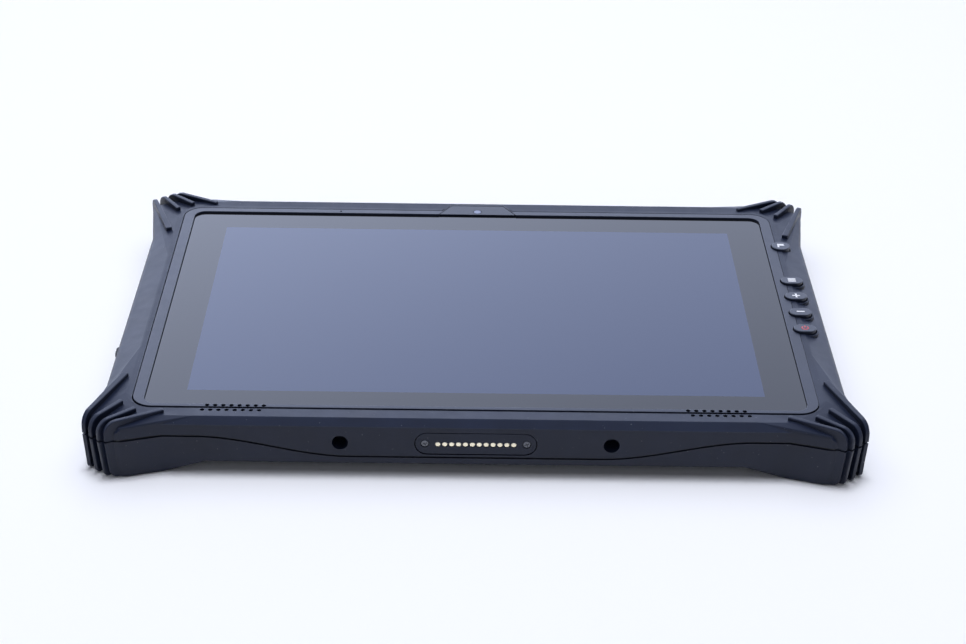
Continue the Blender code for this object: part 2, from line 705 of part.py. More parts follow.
FULL_WALL = HALF_X - SHELL_WALL
PORT_LOW_Z = BACK_Z + PORT_LIFT
PORT_HIGH_Z = PORT_LOW_Z + PORT_HEIGHT
PORT_NEAR_Y = PORT_CENTRE_Y - PORT_LENGTH / 2
PORT_FAR_Y = PORT_CENTRE_Y + PORT_LENGTH / 2
PORT_POCKET_X = -(HALF_X - PORT_COVER_THICK - SEAT_GAP)
PORT_BOARD_Z = FLOOR_Z + SEAT_GAP
SOCKET_Z = PORT_BOARD_Z + PORT_BOARD_THICK + SEAT_GAP
SOCKET_MOUTH_X = PORT_POCKET_X + SEAT_GAP
USB_A_Y = PORT_CENTRE_Y + SOCKET_PITCH
USB_C_Y = PORT_CENTRE_Y
POWER_JACK_Y = PORT_CENTRE_Y - SOCKET_PITCH

BATTERY_NEAR_Y = BATTERY_NEAR - HALF_Y
BATTERY_FAR_Y = BATTERY_NEAR_Y + BATTERY_DEPTH
BOARD_NEAR_Y = BATTERY_FAR_Y + BOARD_GAP
BOARD_Z = BACK_Z + BOARD_LIFT
BOARD_TOP_Z = BOARD_Z + BOARD_THICK
BOARD_MIDDLE_Y = BOARD_NEAR_Y + BOARD_DEPTH / 2
REAR_BOSS_R = HOUSING_HEAD_R + SCREW_GAP + INSERT_BOSS_WALL
BOARD_HALF_X = HOUSING_SIDE_X - REAR_BOSS_R - BOARD_SIDE_ROOM
INSERT_PLACES = [
    (sx * INSERT_SPACING_X / 2, BOARD_MIDDLE_Y + sy * INSERT_SPACING_Y / 2)
    for sx in (1, -1) for sy in (1, -1)
]
REAR_CAMERA_X = REAR_CAMERA_IN - BOARD_HALF_X
REAR_CAMERA_Y = BOARD_MIDDLE_Y + INSERT_SPACING_Y / 2
WINDOW_LOW_X = BATTERY_LENGTH / 2 + BATTERY_SIDE_GAP
WINDOW_NEAR_Y = BATTERY_NEAR_Y - BATTERY_SIDE_GAP
WINDOW_FAR_Y = BATTERY_FAR_Y + BATTERY_SIDE_GAP
COVER_SCREW_PLACES = [
    (sx * (WINDOW_LOW_X + COVER_MARGIN / 2), y)
    for sx in (1, -1) for y in (WINDOW_NEAR_Y - COVER_MARGIN / 2, WINDOW_FAR_Y + COVER_MARGIN / 2)
]

FINS = fin_blanks()
CAVITY_PLAN = inset(WALL_PLAN, SHELL_WALL)


# Cutters that both housings use
def seal_groove():
    outer = inset(WALL_PLAN, SEAL_INSET - SEAL_GAP)
    inner = inset(WALL_PLAN, SEAL_INSET + SEAL_WIDTH + SEAL_GAP)
    ring = add_cutter("seal_groove", outline_solid("seal_groove", [outer, inner], -PAST, TOP_Z + PAST))
    reach = SEAL_HALF_HEIGHT + SEAL_GAP
    slab = add_cutter("seal_groove_slab", seam_slab("seal_groove_slab", -reach, reach))
    boolean(ring, slab, "INTERSECT")
    return ring


SEAL_GROOVE = seal_groove()


# Front housing
def front_shell():
    shell = add_object("front_shell", front_blank(), "housing")
    bevel(shell, SHELL_BEVEL, angle=12.0)
    for fins in FINS:
        boolean(shell, fins, "UNION")
    boolean(shell, key_collars(), "UNION")
    below = add_cutter("below_seam", seam_slab("below_seam", None, SEAM_GAP / 2))
    boolean(shell, below, "DIFFERENCE")
    cavity = add_cutter("front_cavity", outline_solid("front_cavity", [CAVITY_PLAN], -PAST, CEILING_Z))
    boolean(shell, cavity, "DIFFERENCE")

    bosses = []
    for x, y in HOUSING_SCREW_PLACES:
        top = (x, y, CEILING_Z + OVERLAP)
        bosses.append(cylinder("boss", HOUSING_BOSS_R, (x, y, FRONT_BOSS_Z), top, 10))
    sleeve_end = NEAR_WALL_Y + DOCK_HOLE_DEPTH + DOCK_SLEEVE_WALL
    for sign in (1, -1):
        x = sign * DOCK_HOLE_SPACING / 2
        start = (x, NEAR_WALL_Y + SHELL_WALL - OVERLAP, DOCK_Z)
        bosses.append(cylinder("sleeve", DOCK_HOLE_R + DOCK_SLEEVE_WALL, start, (x, sleeve_end, DOCK_Z)))
    boolean(shell, add_cutter("front_bosses", join_meshes("front_bosses", bosses)), "UNION")

    opening_x = PANEL_HALF_X + SEAT_GAP
    opening_y = PANEL_HALF_Y + SEAT_GAP
    opening = box(
        "screen_opening",
        (-opening_x, VIEW_Y - opening_y, CEILING_Z - PAST),
        (opening_x, VIEW_Y + opening_y, POCKET_Z + OVERLAP),
    )
    boolean(shell, add_cutter("screen_opening", opening), "DIFFERENCE")
    pocket = outline_solid("rim_pocket", [rim_outline(SEAT_GAP)], POCKET_Z, TOP_Z + PAST)
    boolean(shell, add_cutter("rim_pocket", pocket), "DIFFERENCE")
    boolean(shell, KEY_HOLES, "DIFFERENCE")
    boolean(shell, SMALL_HOLES, "DIFFERENCE")
    frame_row = sound_holes(SOUND_ROW_SHIFT, -FRAME_ROW_OUT)
    boolean(shell, add_cutter("frame_sound_holes", frame_row), "DIFFERENCE")

    pocket_outline = stadium(PLATE_LENGTH + 2 * SEAT_GAP, PLATE_HEIGHT + 2 * SEAT_GAP, centre=(0.0, DOCK_Z))
    plate_pocket = outline_solid("plate_pocket", [pocket_outline], -PLATE_POCKET_Y, HALF_Y + PAST, ACROSS_Y)
    boolean(shell, add_cutter("plate_pocket", plate_pocket), "DIFFERENCE")
    cuts = []
    half_strip = STRIP_LENGTH / 2 + SEAT_GAP
    half_high = STRIP_HEIGHT / 2 + SEAT_GAP
    cuts.append(box(
        "strip_window",
        (-half_strip, NEAR_WALL_Y + OVERLAP, CONTACT_Z - half_high),
        (half_strip, NEAR_WALL_Y + SHELL_WALL + PAST, CONTACT_Z + half_high),
    ))
    for sign in (1, -1):
        x = sign * PLATE_SCREW_X
        start = (x, NEAR_WALL_Y, DOCK_Z)
        end = (x, NEAR_WALL_Y + SHELL_WALL + PAST, DOCK_Z)
        cuts.append(cylinder("plate_screw_hole", SMALL_SCREW_R + SCREW_GAP, start, end, 12))
        x = sign * DOCK_HOLE_SPACING / 2
        end = (x, NEAR_WALL_Y + DOCK_HOLE_DEPTH, DOCK_Z)
        cuts.append(cylinder("dock_hole", DOCK_HOLE_R, (x, NEAR_WALL_Y - PAST, DOCK_Z), end, 24))
    for x, y in HOUSING_SCREW_PLACES:
        top = (x, y, SCREW_SEAT_Z + HOUSING_SCREW_LENGTH + OVERLAP)
        cuts.append(cylinder("pilot", HOUSING_SCREW_R + SCREW_GAP, (x, y, FRONT_BOSS_Z - PAST), top, 8))
    boolean(shell, add_cutter("front_cuts", join_meshes("front_cuts", cuts)), "DIFFERENCE")
    boolean(shell, SEAL_GROOVE, "DIFFERENCE")
    return shell


def key_collars():
    """Level ovals that carry the lower four keys out over the sloping side."""
    meshes = []
    margin = 2 * (KEY_GAP + KEY_COLLAR)
    for name in ("menu", "volume_up", "volume_down", "power"):
        outline = stadium(KEY_LENGTH + margin, key_width(name) + margin, centre=(KEY_X, KEY_PLACES[name]))
        meshes.append(outline_solid("key_collar", [outline], CEILING_Z - OVERLAP, TOP_Z + KEY_COLLAR_PROUD))
    return add_cutter("key_collars", join_meshes("key_collars", meshes))


def key_holes():
    meshes = []
    for name, y in KEY_PLACES.items():
        outline = stadium(KEY_LENGTH + 2 * KEY_GAP, key_width(name) + 2 * KEY_GAP, centre=(KEY_X, y))
        meshes.append(outline_solid("key_hole", [outline], CEILING_Z - PAST, TOP_Z + PAST))
    return add_cutter("key_holes", join_meshes("key_holes", meshes))


def sound_holes(shift, row_out):
    """One row of sound holes on each side of the docking plate."""
    meshes = []
    y = RIM_NEAR_Y + row_out
    for sign in (1, -1):
        for i in range(SOUND_HOLE_COUNT):
            x = sign * (SOUND_FIRST_X + shift + SOUND_HOLE_PITCH * i)
            meshes.append(cylinder("hole", SOUND_HOLE_R, (x, y, CEILING_Z - PAST), (x, y, TOP_Z + PAST), 6))
    return join_meshes("sound_holes", meshes)


def small_holes():
    """Holes through the rim and its ledge: the rim's sound row, the microphone and the camera barrel."""
    meshes = [sound_holes(0.0, RIM_ROW_IN)]
    y = (RIM_FAR_Y + GLASS_FAR_Y) / 2
    x = MICROPHONE_X
    meshes.append(cylinder("hole", MICROPHONE_HOLE_R, (x, y, CEILING_Z - PAST), (x, y, TOP_Z + PAST), 8))
    radius = CAMERA_BARREL_R + SEAT_GAP
    meshes.append(cylinder("hole", radius, (0, LENS_Y, CEILING_Z - PAST), (0, LENS_Y, TOP_Z + PAST), 12))
    return add_cutter("small_holes", join_meshes("small_holes", meshes))


KEY_HOLES = key_holes()
SMALL_HOLES = small_holes()
FRONT = front_shell()


# Rear housing
def rear_shell():
    shell = add_object("rear_shell", rear_blank(), "housing")
    bevel(shell, SHELL_BEVEL, angle=25.0)
    for fins in FINS:
        boolean(shell, fins, "UNION")
    above = add_cutter("above_seam", seam_slab("above_seam", -SEAM_GAP / 2, None))
    boolean(shell, above, "DIFFERENCE")
    cavity = add_cutter("rear_cavity", outline_solid("rear_cavity", [CAVITY_PLAN], FLOOR_Z, TOP_Z + PAST))
    boolean(shell, cavity, "DIFFERENCE")

    bosses = []
    for x, y in HOUSING_SCREW_PLACES:
        bosses.append(cylinder("boss", REAR_BOSS_R, (x, y, FLOOR_Z - OVERLAP), (x, y, REAR_BOSS_TOP_Z), 12))
    for x, y in INSERT_PLACES:
        top = (x, y, BOARD_Z - SEAT_GAP)
        bosses.append(cylinder("boss", INSERT_R + INSERT_BOSS_WALL, (x, y, FLOOR_Z - OVERLAP), top, 12))
    for y in (KEY_PLACES["menu"] + KEY_PITCH, KEY_PLACES["volume_down"] - KEY_PITCH / 2):
        top = (KEY_X, y, KEY_BOARD_TOP_Z - KEY_BOARD_THICK - SEAT_GAP)
        bosses.append(cylinder("post", KEY_POST_R, (KEY_X, y, FLOOR_Z - OVERLAP), top, 12))
    boolean(shell, add_cutter("rear_bosses", join_meshes("rear_bosses", bosses)), "UNION")

    cuts = [box(
        "battery_window",
        (-WINDOW_LOW_X, WINDOW_NEAR_Y, BACK_Z - PAST),
        (WINDOW_LOW_X, WINDOW_FAR_Y, FLOOR_Z + OVERLAP),
    )]
    for x, y in HOUSING_SCREW_PLACES:
        radius = HOUSING_HEAD_R + SCREW_GAP
        cuts.append(cylinder("head_hole", radius, (x, y, BACK_Z - PAST), (x, y, SCREW_SEAT_Z), 12))
    for x, y in INSERT_PLACES:
        top = (x, y, BACK_Z + INSERT_LENGTH + SEAT_GAP)
        cuts.append(cylinder("insert_hole", INSERT_R + SEAT_GAP, (x, y, BACK_Z - PAST), top, 12))
    for x, y in COVER_SCREW_PLACES:
        top = (x, y, FLOOR_Z + PAST)
        cuts.append(cylinder("cover_screw_hole", SMALL_SCREW_R + SCREW_GAP, (x, y, BACK_Z - PAST), top, 8))
    seat = (REAR_CAMERA_X, REAR_CAMERA_Y, BACK_Z + REAR_WINDOW_THICK + SEAT_GAP)
    outside = (REAR_CAMERA_X, REAR_CAMERA_Y, BACK_Z - PAST)
    cuts.append(cylinder("rear_window_seat", REAR_WINDOW_R + SEAT_GAP, outside, seat, 24))
    pocket_low = (-HALF_X - PAST, PORT_NEAR_Y - SEAT_GAP, PORT_LOW_Z - SEAT_GAP)
    pocket_high = (PORT_POCKET_X, PORT_FAR_Y + ANCHOR_LENGTH + 2 * SEAT_GAP, PORT_HIGH_Z + SEAT_GAP)
    cuts.append(box("port_bay", pocket_low, pocket_high))
    boolean(shell, add_cutter("rear_cuts", join_meshes("rear_cuts", cuts)), "DIFFERENCE")

    through = []
    for x, y in HOUSING_SCREW_PLACES:
        start = (x, y, SCREW_SEAT_Z - OVERLAP)
        top = (x, y, REAR_BOSS_TOP_Z + PAST)
        through.append(cylinder("shank_hole", HOUSING_SCREW_R + SCREW_GAP, start, top, 8))
    inside = (REAR_CAMERA_X, REAR_CAMERA_Y, FLOOR_Z + PAST)
    through.append(cylinder("barrel_hole", REAR_BARREL_R + SEAT_GAP, outside, inside, 20))
    for y, width, height, _depth in SOCKETS.values():
        low = (PORT_POCKET_X - OVERLAP, y - width / 2 - SEAT_GAP, SOCKET_Z - SEAT_GAP)
        high = (-FULL_WALL + PAST, y + width / 2 + SEAT_GAP, SOCKET_Z + height + SEAT_GAP)
        through.append(box("socket_hole", low, high))
    boolean(shell, add_cutter("rear_through", join_meshes("rear_through", through)), "DIFFERENCE")
    boolean(shell, SEAL_GROOVE, "DIFFERENCE")
    return shell


SOCKETS = {
    "usb_a": (USB_A_Y, USB_A_WIDTH, USB_A_HEIGHT, USB_A_DEPTH),
    "usb_c": (USB_C_Y, USB_C_WIDTH, USB_C_HEIGHT, USB_C_DEPTH),
    "power_jack": (POWER_JACK_Y, POWER_JACK_WIDTH, POWER_JACK_SIDE, POWER_JACK_DEPTH),
}
REAR = rear_shell()


# Screen, rim and seals
def screen():
    rim_holder = outline_solid(
        "display_rim", [rim_outline(), glass_outline(SEAT_GAP)], POCKET_Z + SEAT_GAP, RIM_TOP_Z)
    rim = add_object("display_rim", rim_holder, "rim")
    bevel(rim, SEAT_GAP, angle=60.0)
    recess_z = TOP_Z + WINDOW_PROUD - WINDOW_THICK - SEAT_GAP
    recess = outline_solid("window_recess", [window_outline(SEAT_GAP, PAST)], recess_z, RIM_TOP_Z + PAST)
    boolean(rim, add_cutter("window_recess", recess), "DIFFERENCE")
    boolean(rim, KEY_HOLES, "DIFFERENCE")
    boolean(rim, SMALL_HOLES, "DIFFERENCE")

    pane = outline_solid("cover_glass", [glass_outline()], GLASS_Z, TOP_Z)
    glass = add_object("cover_glass", pane, "glass")
    bevel(glass, SEAT_GAP / 2, angle=60.0)
    half_x = PANEL_HALF_X + 2 * SEAT_GAP
    half_y = PANEL_HALF_Y + 2 * SEAT_GAP
    gasket_hole = rounded_box(-half_x, VIEW_Y - half_y, half_x, VIEW_Y + half_y, 4 * SEAT_GAP)
    gasket_loops = [glass_outline(-SEAT_GAP), gasket_hole]
    gasket = outline_solid("glass_gasket", gasket_loops, GASKET_Z, GASKET_Z + GASKET_THICK)
    add_object("glass_gasket", gasket, "rubber")
    add_object("lcd_panel", box(
        "lcd_panel",
        (-PANEL_HALF_X, VIEW_Y - PANEL_HALF_Y, PANEL_Z),
        (PANEL_HALF_X, VIEW_Y + PANEL_HALF_Y, PANEL_Z + PANEL_THICK),
    ), "panel")

    outer = inset(WALL_PLAN, SEAL_INSET)
    inner = inset(WALL_PLAN, SEAL_INSET + SEAL_WIDTH)
    wall = outline_solid("housing_seal", [outer, inner], -PAST, TOP_Z + PAST)
    seal = add_object("housing_seal", wall, "rubber")
    slab = seam_slab("seal_slab", -SEAL_HALF_HEIGHT, SEAL_HALF_HEIGHT)
    boolean(seal, add_cutter("seal_slab", slab), "INTERSECT")


# Front camera and microphone
def camera_and_microphone():
    window_top = TOP_Z + WINDOW_PROUD
    window = add_object("camera_window", outline_solid(
        "camera_window", [window_outline()], window_top - WINDOW_THICK, window_top), "glass")
    lens_low = (0, LENS_Y, window_top - WINDOW_THICK)
    below = (0, LENS_Y, TOP_Z - PAST)
    above = (0, LENS_Y, TOP_Z + PAST)
    lens_hole = cylinder("lens_hole", LENS_R + SEAT_GAP, below, above, 20)
    boolean(window, add_cutter("lens_hole", lens_hole), "DIFFERENCE")
    lens = cylinder("front_camera_lens", LENS_R, lens_low, (0, LENS_Y, window_top), 20)
    add_object("front_camera_lens", lens, "glass")

    half = CAMERA_SIDE / 2
    top = CEILING_Z - SEAT_GAP
    module = add_object("front_camera_module", box(
        "front_camera_module",
        (-half, LENS_Y - half, top - CAMERA_THICK),
        (half, LENS_Y + half, top),
    ), "black_steel")
    barrel_top = (0, LENS_Y, window_top - WINDOW_THICK - 2 * SEAT_GAP)
    barrel = cylinder("barrel", CAMERA_BARREL_R, (0, LENS_Y, top - OVERLAP), barrel_top, 12)
    boolean(module, add_cutter("front_barrel", barrel), "UNION")

    y = (RIM_FAR_Y + GLASS_FAR_Y) / 2
    add_object("microphone", box(
        "microphone",
        (MICROPHONE_X - 4 * MICROPHONE_HOLE_R, y - 3 * MICROPHONE_HOLE_R, top - 3 * MICROPHONE_HOLE_R),
        (MICROPHONE_X + 4 * MICROPHONE_HOLE_R, y + 3 * MICROPHONE_HOLE_R, top),
    ), "steel")


# Keys, their switches and board
def keys():
    for name, y in KEY_PLACES.items():
        width = key_width(name)
        base = Vector((KEY_X, y, KEY_BASE_Z))
        cap = outline_solid("cap", [stadium(KEY_LENGTH, width)], 0.0, TOP_Z + KEY_PROUD - KEY_BASE_Z)
        key = add_object(name + "_key", cap, "key", base)
        bevel(key, KEY_BEVEL, 2, angle=60.0)
        wide = stadium(KEY_LENGTH + 2 * KEY_FLANGE, width + 2 * KEY_FLANGE)
        flange = add_cutter(name + "_flange", outline_solid("flange", [wide], -KEY_FLANGE / 3, KEY_FLANGE))
        flange.location = base
        boolean(key, flange, "UNION")
        half = SWITCH_SIDE / 2
        low = (KEY_X - half, y - half, SWITCH_TOP_Z - SWITCH_THICK)
        high = (KEY_X + half, y + half, SWITCH_TOP_Z)
        add_object(name + "_switch", box(name + "_switch", low, high), "steel")
    half = KEY_BOARD_WIDTH / 2
    add_object("key_board", box(
        "key_board",
        (KEY_X - half, KEY_PLACES["power"] - KEY_BOARD_END, KEY_BOARD_TOP_Z - KEY_BOARD_THICK),
        (KEY_X + half, KEY_PLACES["function"] + KEY_BOARD_END, KEY_BOARD_TOP_Z),
    ), "board")


# Screws
def screw(name, head_r, head_thick, shank_r, length, place, facing, material):
    """A cross-head screw, its head's top along facing. place is the middle of the head's underside."""
    bm = bmesh.new()
    edge = head_thick * 0.3
    profile = [
        (0, head_thick), (head_r - edge, head_thick), (head_r, head_thick - edge), (head_r, 0),
        (shank_r, 0), (shank_r, -length), (0, -length),
    ]
    corners = [bm.verts.new((r, 0, z)) for r, z in profile]
    for first, second in zip(corners, corners[1:]):
        bm.edges.new((first, second))
    mesh = bpy.data.meshes.new(name)
    bm.to_mesh(mesh)
    bm.free()
    made = add_object(name, mesh, material, place)
    turn = Vector((0, 0, 1)).rotation_difference(Vector(facing))
    made.rotation_mode = "QUATERNION"
    made.rotation_quaternion = turn
    round_out = made.modifiers.new("turned", "SCREW")
    round_out.angle = 2 * math.pi
    round_out.steps = 10
    round_out.render_steps = 10
    round_out.use_merge_vertices = True
    round_out.merge_threshold = 0.00001
    arm = head_r * 0.62
    half = head_r * 0.13
    cross = [(arm, half), (half, half), (half, arm), (-half, arm), (-half, half), (-arm, half)]
    cross += [(-x, -y) for x, y in cross]
    lean = math.radians(20.0)
    cross = [
        (x * math.cos(lean) - y * math.sin(lean), x * math.sin(lean) + y * math.cos(lean)) for x, y in cross
    ]
    tool = add_cutter(name + "_cross", outline_solid("cross", [cross], head_thick * 0.45, head_thick * 2))
    tool.location = place
    tool.rotation_mode = "QUATERNION"
    tool.rotation_quaternion = turn
    boolean(made, tool, "DIFFERENCE")
    return made


# Docking plate, contacts and screws
def dock():
    outline = stadium(PLATE_LENGTH, PLATE_HEIGHT, centre=(0.0, DOCK_Z))
    plate = add_object("dock_plate", outline_solid(
        "dock_plate", [outline], -PLATE_BACK_Y, HALF_Y, ACROSS_Y), "housing")
    cuts = []
    pins = []
    strip_front = PLATE_POCKET_Y
    for i in range(CONTACT_COUNT):
        x = (i - (CONTACT_COUNT - 1) / 2) * CONTACT_PITCH
        outside = (x, NEAR_WALL_Y - PAST, CONTACT_Z)
        inside = (x, NEAR_WALL_Y + PAST, CONTACT_Z)
        cuts.append(cylinder("contact_hole", CONTACT_R + 0.5 * SEAT_GAP, outside, inside, 10))
        tip = (x, NEAR_WALL_Y + CONTACT_RECESS, CONTACT_Z)
        pins.append(cylinder("contact", CONTACT_R, tip, (x, strip_front + OVERLAP, CONTACT_Z), 10))
    for sign in (1, -1):
        x = sign * PLATE_SCREW_X
        outside = (x, NEAR_WALL_Y - PAST, DOCK_Z)
        seat = (x, NEAR_WALL_Y + SMALL_HEAD_THICK + SEAT_GAP / 2, DOCK_Z)
        cuts.append(cylinder("head_hole", SMALL_HEAD_R + SCREW_GAP, outside, seat))
    boolean(plate, add_cutter("plate_cuts", join_meshes("plate_cuts", cuts)), "DIFFERENCE")
    shanks = []
    for sign in (1, -1):
        x = sign * PLATE_SCREW_X
        start = (x, NEAR_WALL_Y - PAST, DOCK_Z)
        end = (x, NEAR_WALL_Y + PAST, DOCK_Z)
        shanks.append(cylinder("shank_hole", SMALL_SCREW_R + SCREW_GAP, start, end, 12))
    boolean(plate, add_cutter("plate_shanks", join_meshes("plate_shanks", shanks)), "DIFFERENCE")
    strip = add_object("dock_contacts", box(
        "dock_contacts",
        (-STRIP_LENGTH / 2, strip_front, CONTACT_Z - STRIP_HEIGHT / 2),
        (STRIP_LENGTH / 2, strip_front + STRIP_THICK, CONTACT_Z + STRIP_HEIGHT / 2),
    ), "gold")
    boolean(strip, add_cutter("contact_pins", join_meshes("contact_pins", pins)), "UNION")
    for sign, word in ((1, "right"), (-1, "left")):
        place = (sign * PLATE_SCREW_X, NEAR_WALL_Y + SMALL_HEAD_THICK, DOCK_Z)
        screw("dock_screw_" + word, SMALL_HEAD_R, SMALL_HEAD_THICK, SMALL_SCREW_R, SMALL_SCREW_LENGTH,
              place, (0, -1, 0), "black_steel")


# Loudspeakers under the sound holes
def speakers():
    top = CEILING_Z - SEAT_GAP
    middle_y = RIM_NEAR_Y + (RIM_ROW_IN - FRAME_ROW_OUT) / 2
    for sign, word in ((1, "right"), (-1, "left")):
        x = sign * SOUND_ROW_MIDDLE
        speaker = add_object("speaker_" + word, box(
            "speaker_" + word,
            (x - SPEAKER_LENGTH / 2, middle_y - SPEAKER_DEPTH / 2, top - SPEAKER_THICK),
            (x + SPEAKER_LENGTH / 2, middle_y + SPEAKER_DEPTH / 2, top),
        ), "black_steel")
        bevel(speaker, 2 * SEAT_GAP)


# Port bay: cover, anchor, board and sockets
def ports():
    hinge = Vector((-HALF_X - PORT_COVER_PROUD, PORT_FAR_Y + SEAT_GAP / 2, 0.0))
    outer = -HALF_X - PORT_COVER_PROUD
    inner = -HALF_X + PORT_COVER_THICK
    cover_mesh = box("port_cover", (outer, PORT_NEAR_Y, PORT_LOW_Z), (inner, PORT_FAR_Y, PORT_HIGH_Z))
    cover_mesh.transform(Matrix.Translation(-hinge))
    cover = add_object("port_cover", cover_mesh, "rubber", hinge)
    bevel(cover, SEAT_GAP)
    near = PORT_NEAR_Y + PULL_TAB_INSET - PULL_TAB_LENGTH / 2
    tab_outline = rounded_box(
        -HALF_X - PULL_TAB_OUT, near, inner - 2 * SEAT_GAP, near + PULL_TAB_LENGTH, PULL_TAB_OUT / 2, 3)
    tab_top = PORT_HIGH_Z - 2 * SEAT_GAP
    tab = outline_solid("pull_tab", [tab_outline], tab_top - PULL_TAB_HEIGHT, tab_top)
    boolean(cover, add_cutter("pull_tab", tab), "UNION")

    start = PORT_FAR_Y + SEAT_GAP
    anchor = add_object("port_cover_anchor", box(
        "port_cover_anchor",
        (outer, start, PORT_LOW_Z),
        (inner, start + ANCHOR_LENGTH, PORT_HIGH_Z),
    ), "rubber")
    bevel(anchor, SEAT_GAP)

    board_x = -FULL_WALL + SEAT_GAP
    add_object("port_board", box(
        "port_board",
        (board_x, PORT_NEAR_Y + SEAT_GAP, PORT_BOARD_Z),
        (board_x + PORT_BOARD_DEPTH, PORT_FAR_Y, PORT_BOARD_Z + PORT_BOARD_THICK),
    ), "board")
    for name, (y, width, height, depth) in SOCKETS.items():
        low = Vector((SOCKET_MOUTH_X, y - width / 2, SOCKET_Z))
        high = Vector((SOCKET_MOUTH_X + depth, y + width / 2, SOCKET_Z + height))
        node = name if name.endswith("jack") else name + "_socket"
        socket = add_object(node, box(node, low, high), "steel")
        middle_z = SOCKET_Z + height / 2
        mouth = SOCKET_MOUTH_X - PAST
        back = SOCKET_MOUTH_X + depth - 4 * SOCKET_WALL
        if name == "power_jack":
            hollow = cylinder("hollow", POWER_JACK_HOLE_R, (mouth, y, middle_z), (back, y, middle_z))
            tip = (SOCKET_MOUTH_X + OVERLAP, y, middle_z)
            tongue = cylinder("pin", POWER_JACK_PIN_R, tip, (back + OVERLAP, y, middle_z), 10)
        else:
            wall = SOCKET_WALL
            hollow_low = (mouth, low.y + wall, low.z + wall)
            hollow = box("hollow", hollow_low, (back, high.y - wall, high.z - wall))
            reach = width / 2 - 3 * wall
            thin = height * 0.12
            tongue = box("tongue", (SOCKET_MOUTH_X + OVERLAP, y - reach, middle_z - thin),
                         (back + OVERLAP, y + reach, middle_z + thin))
        boolean(socket, add_cutter(name + "_hollow", hollow), "DIFFERENCE")
        boolean(socket, add_cutter(name + "_tongue", tongue), "UNION")


# Boards, battery and metal inside
def insides():
    chassis = add_object("chassis_plate", box(
        "chassis_plate",
        (-PANEL_HALF_X, VIEW_Y - PANEL_HALF_Y, CHASSIS_Z),
        (PANEL_HALF_X, VIEW_Y + PANEL_HALF_Y, CHASSIS_Z + CHASSIS_THICK),
    ), "aluminium")
    bevel(chassis, SEAT_GAP)
    half = BATTERY_LENGTH / 2
    battery = add_object("battery_pack", box(
        "battery_pack",
        (-half, BATTERY_NEAR_Y, BACK_Z),
        (half, BATTERY_FAR_Y, BACK_Z + BATTERY_THICK),
    ), "battery")
    bevel(battery, 3 * SEAT_GAP, 2)
    add_object("main_board", box(
        "main_board",
        (-BOARD_HALF_X, BOARD_NEAR_Y, BOARD_Z),
        (BOARD_HALF_X, BOARD_NEAR_Y + BOARD_DEPTH, BOARD_TOP_Z),
    ), "board")
    spreader_z = CHASSIS_Z - SEAT_GAP - SPREADER_THICK
    middle = BOARD_MIDDLE_Y
    add_object("shield_can", box(
        "shield_can",
        (-SHIELD_LENGTH / 2, middle - SHIELD_DEPTH / 2, BOARD_TOP_Z + SEAT_GAP),
        (SHIELD_LENGTH / 2, middle + SHIELD_DEPTH / 2, spreader_z - SEAT_GAP),
    ), "steel")
    add_object("heat_spreader", box(
        "heat_spreader",
        (-SPREADER_LENGTH / 2, middle - SPREADER_DEPTH / 2, spreader_z),
        (SPREADER_LENGTH / 2, middle + SPREADER_DEPTH / 2, spreader_z + SPREADER_THICK),
    ), "copper")
    start = SPREADER_LENGTH / 2 + BOARD_GAP / 2
    add_object("storage_card", box(
        "storage_card",
        (start, middle - STORAGE_DEPTH / 2, BOARD_TOP_Z + SEAT_GAP),
        (start + STORAGE_LENGTH, middle + STORAGE_DEPTH / 2, BOARD_TOP_Z + SEAT_GAP + STORAGE_THICK),
    ), "board")


